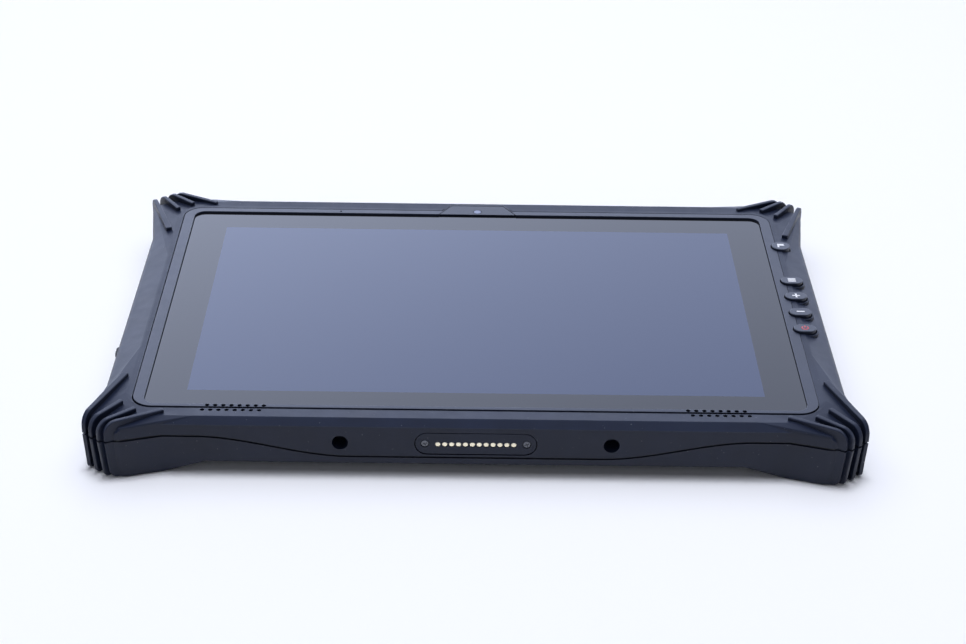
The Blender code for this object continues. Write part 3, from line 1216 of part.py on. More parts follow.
# Back: battery cover, rear camera, bracket inserts and housing screws
def back_fittings():
    cover_x = WINDOW_LOW_X + COVER_MARGIN
    cover_top = BACK_Z - SEAT_GAP
    outline = rounded_box(
        -cover_x, WINDOW_NEAR_Y - COVER_MARGIN, cover_x, WINDOW_FAR_Y + COVER_MARGIN, COVER_MARGIN / 2, 3)
    cover = add_object("battery_cover", outline_solid(
        "battery_cover", [outline], cover_top - COVER_THICK, cover_top), "housing")
    bevel(cover, SHELL_BEVEL, angle=60.0)
    heads = []
    shanks = []
    seat_z = cover_top - COVER_THICK + SMALL_HEAD_THICK
    for x, y in COVER_SCREW_PLACES:
        below = (x, y, -PAST)
        seat = (x, y, seat_z + SEAT_GAP / 2)
        heads.append(cylinder("head_hole", SMALL_HEAD_R + SCREW_GAP, below, seat, 12))
        shanks.append(cylinder("shank_hole", SMALL_SCREW_R + SCREW_GAP, below, (x, y, BACK_Z + PAST), 8))
    boolean(cover, add_cutter("cover_heads", join_meshes("cover_heads", heads)), "DIFFERENCE")
    boolean(cover, add_cutter("cover_shanks", join_meshes("cover_shanks", shanks)), "DIFFERENCE")
    for number, (x, y) in enumerate(COVER_SCREW_PLACES, 1):
        screw("battery_cover_screw_" + str(number), SMALL_HEAD_R, SMALL_HEAD_THICK, SMALL_SCREW_R,
              SMALL_SCREW_LENGTH, (x, y, seat_z), (0, 0, -1), "black_steel")
    for number, (x, y) in enumerate(HOUSING_SCREW_PLACES, 1):
        screw("housing_screw_" + str(number), HOUSING_HEAD_R, HOUSING_HEAD_THICK, HOUSING_SCREW_R,
              HOUSING_SCREW_LENGTH, (x, y, SCREW_SEAT_Z - SEAT_GAP / 2), (0, 0, -1), "black_steel")
    for number, (x, y) in enumerate(INSERT_PLACES, 1):
        name = "bracket_insert_" + str(number)
        top = (x, y, BACK_Z + INSERT_LENGTH)
        insert = add_object(name, cylinder(name, INSERT_R, (x, y, BACK_Z), top, 12), "brass")
        end = (x, y, BACK_Z + INSERT_LENGTH - 2 * SEAT_GAP)
        bore = cylinder("bore", INSERT_BORE_R, (x, y, BACK_Z - PAST), end, 10)
        boolean(insert, add_cutter(name + "_bore", bore), "DIFFERENCE")

    x = REAR_CAMERA_X
    y = REAR_CAMERA_Y
    glass_top = BACK_Z + REAR_WINDOW_THICK
    add_object("rear_camera_window", cylinder(
        "rear_camera_window", REAR_WINDOW_R, (x, y, BACK_Z), (x, y, glass_top), 24), "glass")
    half = REAR_CAMERA_SIDE / 2
    low_z = FLOOR_Z + SEAT_GAP
    module = add_object("rear_camera_module", box(
        "rear_camera_module",
        (x - half, y - half, low_z),
        (x + half, y + half, BOARD_Z - SEAT_GAP),
    ), "black_steel")
    barrel = cylinder("barrel", REAR_BARREL_R, (x, y, glass_top + SEAT_GAP), (x, y, low_z + OVERLAP))
    boolean(module, add_cutter("rear_barrel", barrel), "UNION")


screen()
camera_and_microphone()
keys()
dock()
speakers()
ports()
insides()
back_fittings()
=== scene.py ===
"""Looks of a rugged ten-inch data collector: finer housings, glass, keys and fittings around its frame.

Lengths are in metres, in the frame's own axes: X along the long side, Y away from the user, Z up.
"""
import json
import math

import bmesh
import bpy
from mathutils import Matrix, Vector


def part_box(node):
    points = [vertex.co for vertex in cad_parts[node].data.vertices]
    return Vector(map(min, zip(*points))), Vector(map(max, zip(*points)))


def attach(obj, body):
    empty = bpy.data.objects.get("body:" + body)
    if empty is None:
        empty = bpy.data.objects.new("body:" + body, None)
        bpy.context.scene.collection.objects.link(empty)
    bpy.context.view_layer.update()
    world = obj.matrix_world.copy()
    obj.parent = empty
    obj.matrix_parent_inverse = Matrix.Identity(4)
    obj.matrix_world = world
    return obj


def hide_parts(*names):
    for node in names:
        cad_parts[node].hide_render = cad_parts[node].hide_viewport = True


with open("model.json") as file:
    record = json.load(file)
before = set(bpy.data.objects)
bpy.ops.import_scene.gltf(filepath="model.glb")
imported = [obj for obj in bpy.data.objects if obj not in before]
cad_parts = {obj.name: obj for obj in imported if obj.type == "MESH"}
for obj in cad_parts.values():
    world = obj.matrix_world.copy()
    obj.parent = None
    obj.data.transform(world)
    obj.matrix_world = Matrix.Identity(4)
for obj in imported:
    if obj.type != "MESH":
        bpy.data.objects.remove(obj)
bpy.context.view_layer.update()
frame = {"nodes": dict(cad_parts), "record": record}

MM = 0.001
GAP = 0.3 * MM
OVERLAP = 0.6 * MM
PAST = 6.0 * MM
QUARTER = math.pi / 2

# Places read from the frame
GLASS_LOW, GLASS_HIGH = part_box("cover_glass")
RIM_LOW, RIM_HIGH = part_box("display_rim")
PLATE_LOW, PLATE_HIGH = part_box("dock_plate")
STRIP_LOW, STRIP_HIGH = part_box("dock_contacts")
PANEL_LOW, PANEL_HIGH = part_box("lcd_panel")
COVER_LOW, COVER_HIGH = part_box("port_cover")
ANCHOR_LOW, ANCHOR_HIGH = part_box("port_cover_anchor")
WINDOW_LOW, WINDOW_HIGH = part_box("camera_window")
TOP_Z = GLASS_HIGH.z
HALF_Y = -PLATE_LOW.y
DOCK_Z = (PLATE_LOW.z + PLATE_HIGH.z) / 2
BACK_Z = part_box("bracket_insert_1")[0].z
CEILING_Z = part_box("microphone")[1].z + GAP
POCKET_Z = RIM_LOW.z - GAP

# Housing sizes
BACK_WALL = 2.0 * MM
SHELL_WALL = 3.0 * MM
FRAME_SIDE = 2.4 * MM
SIDE_RUN = 10.25 * MM
SIDE_DROP = 4.0 * MM
END_RUN = 2.9 * MM
END_DROP = 1.85 * MM
END_LIFT = 0.25 * MM
TOP_HALF_X = RIM_HIGH.x + FRAME_SIDE
HALF_X = TOP_HALF_X + SIDE_RUN
TOP_HALF_Y = HALF_Y - END_RUN
FLOOR_Z = BACK_Z + BACK_WALL

# Seam between the two housings
SEAM_GAP = 0.9 * MM
SEAM_HIGH_Z = TOP_Z - 6.8 * MM
SEAM_LOW_Z = TOP_Z - 14.8 * MM
SEAM_FLAT_X = 47.0 * MM
SEAM_RISE_X = 103.0 * MM
SEAM_STEPS = 28

# Corner bumpers, measured from the corner where the two wall lines meet
SIDE_FLARE = (HALF_X, HALF_Y - 30.0 * MM)
CORE_SIDE = (HALF_X + 3.5 * MM, HALF_Y - 4.2 * MM)
CORE_END = (HALF_X - 9.2 * MM, HALF_Y + 4.8 * MM)
END_FLARE = (HALF_X - 25.3 * MM, HALF_Y)
CREASE_SIDE = 54.7 * MM
CREASE_END = 36.9 * MM
CORNER_TOP_SIDE = 19.2 * MM
CORNER_TOP_END = 22.4 * MM
CORNER_DROP = 3.4 * MM
CORNER_CREASE = 1.6 * MM
FOOT_RAMP_SIDE = 42.7 * MM
FOOT_RAMP_END = 40.7 * MM
FOOT_DRAFT = 0.5 * MM
FOOT_ROUND = 1.4 * MM
FOOT_ROUND_STEPS = 5
FOOT_SLANT = 0.7
RAMP_DRAFT_SHARE = 0.3
FLARE_DRAFT_SHARE = 0.8
CORE_ROUND = 3.2 * MM
CORE_ROUND_STEPS = 6
SOFT_EDGE = 2.0 * MM
CRISP_SHARE = 0.16
END_SHARE = 0.4
FIN_TIP_THICK = 1.7 * MM
FIN_RISE = 1.2 * MM
FIN_SHOULDER_R = 5.0 * MM
FIN_ROUND = 0.4 * MM
FIN_LIP_DEPTH = 0.6 * MM
FIN_ROOT = 11.0 * MM
CORNERS = ((1, 1), (-1, 1), (-1, -1), (1, -1))
CORNER_PLAN = (SIDE_FLARE, CORE_SIDE, CORE_END, END_FLARE)

# Fins of a corner: thickness, foot radius, foot draft, tip X, tip Y and length in mm, and degrees from X
FINS = (
    (2.7, 2.0, 1.4, 3.3, -0.7, 33.1, 70.5),
    (2.0, 2.0, 1.4, 0.55, 2.0, 17.2, 55.0),
    (2.0, 2.0, 1.4, -2.4, 4.1, 16.8, 41.0),
    (2.0, 3.6, 1.0, -4.9, 4.6, 23.2, 27.3),
)

# Screen, rim and camera tab
RIM_CORNER_R = 8.0 * MM
RIM_ROUND = 0.2 * MM
RIM_ROOM = 0.15 * MM
RIM_SHIFT = 0.1 * MM
RIM_TRIM = 0.1 * MM
RIM_NEAR_TRIM = 0.85 * MM
RIM_NEAR_SINK = 0.6 * MM
RIM_FAR_SINK = 0.35 * MM
BORDER_WIDTH = 2.0 * MM
BORDER_LIFT = 0.45 * MM
GLASS_SINK = 0.4 * MM
GLASS_ROOM = 0.15 * MM
GLASS_ROUND = 0.1 * MM
GLASS_CORNER_R = 4.5 * MM
GLASS_NEAR_Y = RIM_LOW.y + 2.9 * MM
PANEL_BORDER = 6.0 * MM
EDGE_BLUR = 0.12 * MM
MICROPHONE_HOLE_R = 0.5 * MM
TAB_BASE_HALF = 15.4 * MM
TAB_TOP_HALF = 11.7 * MM
TAB_REACH = 5.9 * MM
RIM_FAR_Y = RIM_HIGH.y - TAB_REACH

# Keys
KEY_NAMES = ("function", "menu", "volume_up", "volume_down", "power")
KEY_FLANGE = 0.9 * MM
KEY_FLANGE_THICK = 1.2 * MM
KEY_ROUND = 0.3 * MM
MARK_RISE = 0.05 * MM
MARK_SINK = 0.01 * MM
MARK_DEPTH = 0.1 * MM
KEY_HOLE_GAP = 0.45 * MM
KEY_COLLAR = 1.1 * MM
KEY_COLLAR_DROP = 0.3 * MM
KEY_COLLAR_ROUND = 0.25 * MM
KEY_TRIMS = {"function": 1.1 * MM}

# Marks on the keys
MARK_WIDE = 3.2 * MM
MARK_THIN = 0.76 * MM
MENU_PITCH = 1.05 * MM
FLAG_LOW = ((-1.5, -1.5), (-0.75, -1.5), (-0.75, -0.1), (1.6, -0.1))
FLAG_HIGH = ((1.05, 0.7), (1.6, 1.5), (-1.5, 1.5))
POWER_R = 1.5 * MM
POWER_BORE_R = 1.0 * MM
POWER_GAP_HALF = 38.0
POWER_STROKE = (0.5 * MM, 1.5 * MM)

# Sound holes
SOUND_HOLE_R = 0.85 * MM
SOUND_HOLE_COUNT = 8
SOUND_HOLE_PITCH = 3.0 * MM
SOUND_FIRST_X = RIM_HIGH.x - 49.45 * MM
SOUND_ROW_SHIFT = 1.5 * MM
RIM_ROW_Y = RIM_LOW.y + 1.8 * MM
FRAME_ROW_Y = RIM_LOW.y - 1.3 * MM

# Docking plate
DOCK_HOLE_X = 50.0 * MM
DOCK_HOLE_R = 3.0 * MM
DOCK_HOLE_DEPTH = 8.0 * MM
CONTACT_COUNT = 12
CONTACT_PITCH = 2.54 * MM
CONTACT_LENGTH = 2.1 * MM
CONTACT_WIDTH = 1.9 * MM
CONTACT_ROOM = 0.1 * MM
CONTACT_CROWN = 0.3 * MM
CONTACT_Z = DOCK_Z - 0.35 * MM
DOCK_SLEEVE_WALL = 1.8 * MM
PLATE_ROUND = 0.3 * MM
PLATE_SCREW_SEAT = 0.95 * MM
PLATE_SCREW_ROOM_R = 1.65 * MM

# Screws: head radius, head height and shank radius
PLATE_SCREW = (1.4 * MM, 0.8 * MM, 0.8 * MM)
LID_SCREW = (1.6 * MM, 0.8 * MM, 0.8 * MM)
CASE_SCREW = (2.4 * MM, 1.5 * MM, 1.1 * MM)
SHANK_HOLE_R = 1.15 * MM
CROSS_TURN = 20.0

# Shares of a screw head's radius or height
HEAD_EDGE_SHARE = 0.35
CROSS_REACH_SHARE = 0.62
CROSS_HALF_SHARE = 0.12
CROSS_FLOOR_SHARE = 0.4

# Port cover
FLAP_CORNER_R = 0.8 * MM
FLAP_ROUND = 0.3 * MM
PULL_START = 5.5 * MM
PULL_LENGTH = 6.0 * MM
PULL_THICK = 2.0 * MM
PULL_CORNER_R = 1.2 * MM
PULL_ROUND = 0.4 * MM

# Back of the housing
BATTERY_ROOM = 1.0 * MM
BOSS_WALL = 1.5 * MM
SCREW_BOSS_RISE = 2.0 * MM
INSERT_BOSS_ROOF = 1.0 * MM
REAR_CAMERA_HOLE_R = 3.7 * MM
LID_CORNER_R = 3.0 * MM
LID_ROUND = 0.7 * MM
LID_SCREW_SEAT = 0.95 * MM
LID_SCREW_ROOM_R = 1.95 * MM
THREAD_R = 1.65 * MM
THREAD_DEPTH = 0.2 * MM
THREAD_PITCH = 0.5 * MM
THREAD_POINTS = 14
INSERT_TIP_R = 0.4 * MM

# Finishes
SMOOTH_ANGLE = 35.0
HOUSING_COLOUR = (0.0052, 0.0082, 0.0195)
# Paler colour along edges: partly rubbed wear, partly a painted highlight
EDGE_WEAR_AND_HIGHLIGHT = (0.032, 0.036, 0.046)
DUST_COLOUR = (0.32, 0.33, 0.36)

# Light of a wide screen on the dome, and the light that the whole dome and its top add to it
SCREEN_LEVEL = 3.3
DOME_LEVEL = 0.33
ZENITH_LEVEL = 0.45
LIGHT_TINT = (1.0, 1.12, 1.48)

# How that light fades: the axis, where it is least, where it is full, and the least share
SCREEN_SLOPES = (
    ("Z", 1.1, -0.1, 0.0),
    ("X", 0.20, -0.20, 0.6),
    ("X", -0.50, -0.15, 0.64),
    ("X", 0.60, 0.25, 0.6),
    ("Y", -0.5, 0.5, 0.12),
)
ZENITH_SLOPE = ("Z", 0.70, 0.98, 0.0)

# Soft lights: name, place in metres, width in metres and watts
SOFT_LIGHTS = (
    ("overhead", (-0.2, 0.5, 2.5), 4.6, 57.5),
    ("small_overhead", (0.0, 0.1, 2.4), 0.6, 28.0),
    ("front_fill", (0.0, -2.4, 1.1), 2.6, 10.0),
)
SOFT_TINT = (1.0, 1.03, 1.14)

# Turns that lay a shape drawn on X and Y along another axis
ACROSS_Y = Matrix(((1, 0, 0, 0), (0, 0, -1, 0), (0, 1, 0, 0), (0, 0, 0, 1)))
ACROSS_X = Matrix(((0, 0, 1, 0), (1, 0, 0, 0), (0, 1, 0, 0), (0, 0, 0, 1)))


# Building helpers
def new_object(name, data):
    made = bpy.data.objects.new(name, data)
    bpy.context.scene.collection.objects.link(made)
    return made


def linked(name, bm):
    """Keeps the mesh that was built as a new object of the scene."""
    mesh = bpy.data.meshes.new(name)
    bm.to_mesh(mesh)
    bm.free()
    return new_object(name, mesh)


def to_object(name, bm):
    """Turns the faces of a closed solid outward and links it as an object."""
    bmesh.ops.recalc_face_normals(bm, faces=bm.faces)
    if bm.calc_volume(signed=True) < 0:
        bmesh.ops.reverse_faces(bm, faces=bm.faces)
    return linked(name, bm)


def final_mesh(made):
    """A new mesh of what an object's curve or modifiers make."""
    graph = bpy.context.evaluated_depsgraph_get()
    return bpy.data.meshes.new_from_object(made.evaluated_get(graph))


def bake(made):
    """Keeps what the object's modifiers make as its own mesh."""
    mesh = final_mesh(made)
    made.modifiers.clear()
    made.data = mesh
    return made


def join(name, parts):
    """One object that holds the meshes of several, which are removed."""
    bm = bmesh.new()
    for part in parts:
        part.data.transform(part.matrix_basis)
        bm.from_mesh(part.data)
        bpy.data.objects.remove(part)
    return linked(name, bm)


def combine(made, operation, tools):
    """Joins or cuts a solid with each tool in turn, and removes the tools."""
    for tool in tools:
        modifier = made.modifiers.new(tool.name, "BOOLEAN")
        modifier.operation = operation
        modifier.solver = "EXACT"
        modifier.object = tool
    bake(made)
    for tool in tools:
        bpy.data.objects.remove(tool)


def round_edges(made, width, segments=3, angle=60.0, weighted=False):
    modifier = made.modifiers.new("rounding", "BEVEL")
    modifier.width = width
    modifier.segments = segments
    modifier.limit_method = "WEIGHT" if weighted else "ANGLE"
    modifier.angle_limit = math.radians(angle)
    return bake(made)


def outline_solid(name, loops, low, high, turn=None):
    """A flat outline, with any holes, raised from low to high along Z or a turned axis."""
    curve = bpy.data.curves.new(name, "CURVE")
    curve.dimensions = "2D"
    curve.fill_mode = "BOTH"
    curve.extrude = (high - low) / 2
    for loop in loops:
        spline = curve.splines.new("POLY")
        spline.points.add(len(loop) - 1)
        for point, (x, y) in zip(spline.points, loop):
            point.co = (x, y, 0.0, 1.0)
        spline.use_cyclic_u = True
    holder = new_object(name, curve)
    drawn = final_mesh(holder)
    bpy.data.objects.remove(holder)
    bm = bmesh.new()
    bm.from_mesh(drawn)
    bpy.data.meshes.remove(drawn)
    bmesh.ops.remove_doubles(bm, verts=bm.verts, dist=1e-7)
    bmesh.ops.dissolve_limit(bm, angle_limit=0.001, verts=bm.verts, edges=bm.edges)
    move = Matrix.Translation((0, 0, (low + high) / 2))
    bm.transform(turn @ move if turn else move)
    return to_object(name, bm)


def box_solid(name, low, high, room=(0, 0, 0)):
    """A box between two corners, grown by some room along each axis."""
    bm = bmesh.new()
    bmesh.ops.create_cube(bm, size=1.0)
    low = Vector(low) - Vector(room)
    high = Vector(high) + Vector(room)
    bm.transform(Matrix.Translation((low + high) / 2) @ Matrix.Diagonal((*(high - low), 1.0)))
    return to_object(name, bm)


def loft(bm, rings, closed=False, floor=True):
    """Faces between rings of equal length, with flat ends unless closed. Returns the vertices by ring."""
    rows = [[bm.verts.new(p) for p in ring] for ring in rings]
    pairs = list(zip(rows, rows[1:]))
    if closed:
        pairs.append((rows[-1], rows[0]))
    count = len(rings[0])
    for lower, upper in pairs:
        for i in range(count):
            j = (i + 1) % count
            bm.faces.new((lower[i], lower[j], upper[j], upper[i]))
    if floor and not closed:
        bm.faces.new(reversed(rows[0]))
    if not closed:
        bm.faces.new(rows[-1])
    return rows


def placed(place, facing):
    """The move that sets a shape made along Z at a place, along facing."""
    turn = Vector((0, 0, 1)).rotation_difference(Vector(facing)).to_matrix().to_4x4()
    return Matrix.Translation(place) @ turn


def turned(name, profile, place, facing=(0, 0, 1), steps=32, closed=False):
    """A lathe shape. The profile's (radius, height) points rise along facing from place."""
    turns = [2 * math.pi * i / steps for i in range(steps)]
    rings = [[(r * math.cos(a), r * math.sin(a), z) for a in turns] for r, z in profile]
    bm = bmesh.new()
    loft(bm, rings, closed)
    bm.transform(placed(place, facing))
    return to_object(name, bm)


def bar(name, radius, start, end, steps=24):
    """A round bar between two points."""
    along = Vector(end) - Vector(start)
    return turned(name, [(radius, 0.0), (radius, along.length)], start, along, steps)


def upright(name, radius, place, low, high, steps=24):
    """A round bar along Z over a place."""
    return bar(name, radius, (place.x, place.y, low), (place.x, place.y, high), steps)


def arc(centre_x, centre_y, radius, first, last, steps):
    turns = [first + (last - first) * i / steps for i in range(steps + 1)]
    return [(centre_x + radius * math.cos(a), centre_y + radius * math.sin(a)) for a in turns]


def rounded_box(low_x, low_y, high_x, high_y, radius, steps=12):
    left = low_x + radius
    right = high_x - radius
    near = low_y + radius
    far = high_y - radius
    points = []
    for i, (x, y) in enumerate(((right, far), (left, far), (left, near), (right, near))):
        points += arc(x, y, radius, i * QUARTER, (i + 1) * QUARTER, steps)
    return points


def stadium(length, width, steps=16, centre=(0.0, 0.0)):
    """A straight-sided oval, its length along the first axis."""
    radius = width / 2
    reach = length / 2 - radius
    points = arc(centre[0] + reach, centre[1], radius, -QUARTER, QUARTER, steps)
    points += arc(centre[0] - reach, centre[1], radius, QUARTER, 3 * QUARTER, steps)
    return points


def round_top(height, radius, steps):
    """The (margin, height) steps of a quarter circle that closes a stack of outlines."""
    turns = [QUARTER * i / steps for i in range(1, steps + 1)]
    return [(radius * (1 - math.cos(a)), height + radius * math.sin(a)) for a in turns]


def oval_stack(name, length, width, steps, centre):
    """Stacked ovals. Each step gives the margin in from the full outline, and the height."""
    rings = []
    for margin, z in steps:
        outline = stadium(length - 2 * margin, width - 2 * margin, 16, centre)
        rings.append([(x, y, z) for x, y in outline])
    bm = bmesh.new()
    loft(bm, rings)
    return to_object(name, bm)


def inset(points, distance):
    """A closed outline moved inward by a distance, with mitred corners."""
    moved = []
    count = len(points)
    for i in range(count):
        here = Vector(points[i])
        first = (here - Vector(points[i - 1])).normalized()
        second = (Vector(points[(i + 1) % count]) - here).normalized()
        first_in = Vector((-first.y, first.x))
        middle = (first_in + Vector((-second.y, second.x))).normalized()
        moved.append(tuple(here + middle * (distance / middle.dot(first_in))))
    return moved


def mirrored(quarter):
    """The closed ring of a quarter's points, mirrored to all four corners."""
    ring = [tuple(p) for p in quarter]
    ring += [(-p[0], *p[1:]) for p in reversed(quarter)]
    ring += [(-p[0], -p[1], *p[2:]) for p in quarter]
    ring += [(p[0], -p[1], *p[2:]) for p in reversed(quarter)]
    return ring


# Materials
def fill(tree, node, sockets):
    """Sets the sockets of a node, or links them to the outputs of other nodes."""
    for name, value in sockets.items():
        if isinstance(value, bpy.types.NodeSocket):
            tree.links.new(value, node.inputs[name])
        else:
            node.inputs[name].default_value = value
    return node


def reckon(tree, operation, first, second):
    """What a Math node makes of two numbers or outputs."""
    node = tree.nodes.new("ShaderNodeMath")
    node.operation = operation
    return fill(tree, node, {0: first, 1: second}).outputs["Value"]


class Finish:
    """A Principled material with short calls for the nodes that vary it over the surface."""

    def __init__(self, name, colour, roughness, metallic=0.0, ior=1.5):
        self.material = bpy.data.materials.new(name)
        self.material.use_nodes = True
        self.tree = self.material.node_tree
        self.shader = self.tree.nodes["Principled BSDF"]
        self.give({"Base Color": (*colour, 1.0), "Roughness": roughness})
        self.give({"Metallic": metallic, "IOR": ior})
        self.place = self.node("TexCoord", {}).outputs["Object"]

    def give(self, sockets):
        fill(self.tree, self.shader, sockets)

    def node(self, kind, sockets):
        return fill(self.tree, self.tree.nodes.new("ShaderNode" + kind), sockets)

    def stretched(self, scale):
        """The surface position with its axes scaled, for grain that runs one way."""
        return self.node("Mapping", {"Vector": self.place, "Scale": scale}).outputs["Vector"]

    def noise(self, size, detail=2.0, place=None):
        sockets = {"Vector": place or self.place, "Scale": 1.0 / size, "Detail": detail}
        return self.node("TexNoise", sockets).outputs["Fac"]

    def cells(self, size):
        return self.node("TexVoronoi", {"Vector": self.place, "Scale": 1.0 / size}).outputs["Distance"]

    def spread(self, value, low, high, to_low=0.0, to_high=1.0):
        """Maps a value from one range to another and holds it there."""
        sockets = {"Value": value, "From Min": low, "From Max": high, "To Min": to_low, "To Max": to_high}
        return self.node("MapRange", sockets).outputs["Result"]

    def mix(self, share, first, second):
        """A colour between two, which are colours or the outputs of other mixes."""
        first, second = ((*end, 1.0) if isinstance(end, tuple) else end for end in (first, second))
        node = self.tree.nodes.new("ShaderNodeMix")
        node.data_type = "RGBA"
        return fill(self.tree, node, {"Factor": share, 6: first, 7: second}).outputs[2]

    def edges(self, radius, low, high):
        """A mask that is 1 along sharp edges and 0 on open faces."""
        rounded = self.node("Bevel", {"Radius": radius})
        rounded.samples = 4
        true_normal = self.node("NewGeometry", {}).outputs["Normal"]
        dot = self.tree.nodes.new("ShaderNodeVectorMath")
        dot.operation = "DOT_PRODUCT"
        fill(self.tree, dot, {0: rounded.outputs["Normal"], 1: true_normal})
        return self.spread(dot.outputs["Value"], 1.0 - low, 1.0 - high)

    def colour(self, output):
        self.give({"Base Color": output})

    def roughness(self, output):
        self.give({"Roughness": output})

    def bump(self, height, strength, distance):
        node = self.node("Bump", {"Height": height, "Strength": strength, "Distance": distance})
        self.give({"Normal": node.outputs["Normal"]})


def moulded_plastic(name, roughness, grain, ior=1.37):
    """Dark moulded plastic: fine spark grain, faint blotches, paler edges that are partly rubbed wear and
    partly a painted highlight, and a little dust.
    """
    finish = Finish(name, HOUSING_COLOUR, roughness, ior=ior)
    blotch = finish.spread(finish.noise(14 * MM, 4.0), 0.3, 0.7)
    toned = finish.mix(blotch, HOUSING_COLOUR, tuple(c * 1.35 for c in HOUSING_COLOUR))
    # Paler along sharp edges, broken by noise: partly rubbed wear, partly a painted highlight where edges
    # would catch light
    edges = finish.edges(0.5 * MM, 0.01, 0.12)
    wear_and_highlight_mask = reckon(finish.tree, "MULTIPLY", edges, finish.noise(3 * MM, 3.0))
    with_wear_and_highlight = finish.mix(wear_and_highlight_mask, toned, EDGE_WEAR_AND_HIGHLIGHT)
    dust = finish.spread(finish.noise(0.6 * MM, 0.0), 0.84, 0.88, 0.0, 0.3)
    finish.colour(finish.mix(dust, with_wear_and_highlight, DUST_COLOUR))
    matt = finish.noise(5 * MM, 3.0)
    finish.roughness(finish.spread(matt, 0.3, 0.7, roughness - 0.03, roughness + 0.03))
    finish.bump(finish.noise(grain, 2.0), 0.22, 0.04 * MM)
    return finish.material


def screen_glass():
    """Cover glass with a black printed border round the unlit display."""
    border = (0.006, 0.006, 0.007)
    display = (0.0225, 0.038, 0.099)
    finish = Finish("screen_glass", border, 0.06, ior=1.53)
    view_middle = (PANEL_LOW + PANEL_HIGH) / 2
    view_half = (PANEL_HIGH - PANEL_LOW) / 2 - Vector((PANEL_BORDER, PANEL_BORDER, 0))
    parts = finish.node("SeparateXYZ", {"Vector": finish.place})
    inside = []
    for output, centre, half in zip(parts.outputs, view_middle.xy, view_half.xy):
        off = reckon(finish.tree, "SUBTRACT", output, centre)
        off = reckon(finish.tree, "ABSOLUTE", off, 0.0)
        inside.append(finish.spread(off, half - EDGE_BLUR, half + EDGE_BLUR, 1.0, 0.0))
    mask = reckon(finish.tree, "MULTIPLY", *inside)
    finish.colour(finish.mix(mask, border, display))
    smear = finish.noise(28 * MM, 5.0, finish.stretched((1.0, 2.2, 1.0)))
    finish.roughness(finish.spread(smear, 0.35, 0.75, 0.045, 0.085))
    finish.bump(finish.noise(60 * MM, 1.0), 0.02, 0.2 * MM)
    return finish.material


def metal(name, colour, roughness, brushed=(1.0, 1.0, 1.0)):
    """Bare or plated metal with fine scratches, which run one way if the grain is stretched."""
    finish = Finish(name, colour, roughness, metallic=1.0)
    grain = finish.noise(0.5 * MM, 3.0, finish.stretched(brushed))
    finish.roughness(finish.spread(grain, 0.3, 0.7, roughness - 0.08, roughness + 0.1))
    tarnish = finish.spread(finish.noise(6 * MM, 3.0), 0.35, 0.75)
    finish.colour(finish.mix(tarnish, colour, tuple(c * 0.78 for c in colour)))
    finish.bump(grain, 0.08, 0.02 * MM)
    return finish.material


def printed(name, colour):
    """Ink printed on a key, with a slightly uneven coat."""
    finish = Finish(name, colour, 0.55)
    finish.colour(finish.mix(finish.noise(0.4 * MM, 2.0), colour, tuple(c * 0.86 for c in colour)))
    finish.bump(finish.noise(0.2 * MM), 0.1, 0.01 * MM)
    return finish.material


def rubber(name, colour, roughness):
    finish = Finish(name, colour, roughness, ior=1.45)
    finish.colour(finish.mix(finish.noise(4 * MM, 4.0), colour, tuple(c * 1.5 for c in colour)))
    finish.roughness(finish.spread(finish.noise(2 * MM), 0.3, 0.7, roughness - 0.06, roughness + 0.06))
    finish.bump(finish.cells(0.22 * MM), 0.18, 0.03 * MM)
    return finish.material


def circuit_board():
    """Green solder mask over fine copper lanes."""
    finish = Finish("circuit_board", (0.010, 0.085, 0.045), 0.42)
    sockets = {"Vector": finish.place, "Scale": 1.0 / (6 * MM), "Mortar Size": 0.05}
    lanes = finish.node("TexBrick", sockets).outputs["Fac"]
    tone = finish.mix(lanes, (0.008, 0.075, 0.040), (0.020, 0.15, 0.075))
    pads = finish.spread(finish.cells(2.2 * MM), 0.0, 0.12, 1.0, 0.0)
    finish.colour(finish.mix(pads, tone, (0.62, 0.5, 0.26)))
    finish.bump(lanes, 0.2, 0.03 * MM)
    return finish.material


def dark_lens():
    """Coated glass over a dark camera barrel."""
    finish = Finish("dark_lens", (0.01, 0.01, 0.014), 0.04, ior=1.6)
    finish.colour(finish.mix(finish.noise(1.5 * MM), (0.010, 0.010, 0.016), (0.020, 0.016, 0.034)))
    finish.give({"Coat Weight": 1.0, "Coat Roughness": 0.03, "Coat Tint": (0.75, 0.80, 1.0, 1.0)})
    return finish.material


def battery_wrap():
    finish = Finish("battery_wrap", (0.03, 0.032, 0.04), 0.4)
    finish.colour(finish.mix(finish.noise(9 * MM, 4.0), (0.025, 0.027, 0.034), (0.05, 0.053, 0.066)))
    finish.bump(finish.noise(3 * MM, 5.0), 0.15, 0.1 * MM)
    return finish.material


HOUSING = moulded_plastic("housing_plastic", 0.44, 0.28 * MM)
RIM = moulded_plastic("rim_plastic", 0.36, 0.2 * MM, ior=1.49)
KEY = moulded_plastic("key_plastic", 0.36, 0.2 * MM, ior=1.58)
GLASS = screen_glass()
LENS = dark_lens()
WINDOW = moulded_plastic("window_black", 0.2, 0.3 * MM)
RUBBER = rubber("black_rubber", (0.009, 0.009, 0.010), 0.62)
WHITE_INK = printed("white_ink", (0.82, 0.83, 0.85))
RED_INK = printed("red_ink", (0.55, 0.07, 0.08))
GOLD = metal("gold_plate", (1.0, 0.91, 0.68), 0.3)
BLACK_STEEL = metal("blackened_steel", (0.13, 0.135, 0.15), 0.33)
STEEL = metal("plain_steel", (0.56, 0.57, 0.59), 0.32, (1.0, 6.0, 1.0))
ALUMINIUM = metal("brushed_aluminium", (0.70, 0.71, 0.73), 0.36, (0.12, 4.0, 1.0))
COPPER = metal("copper_sheet", (0.72, 0.37, 0.22), 0.33, (0.2, 3.0, 1.0))
BRASS = metal("turned_brass", (0.72, 0.55, 0.26), 0.3)
BOARD = circuit_board()
BATTERY = battery_wrap()


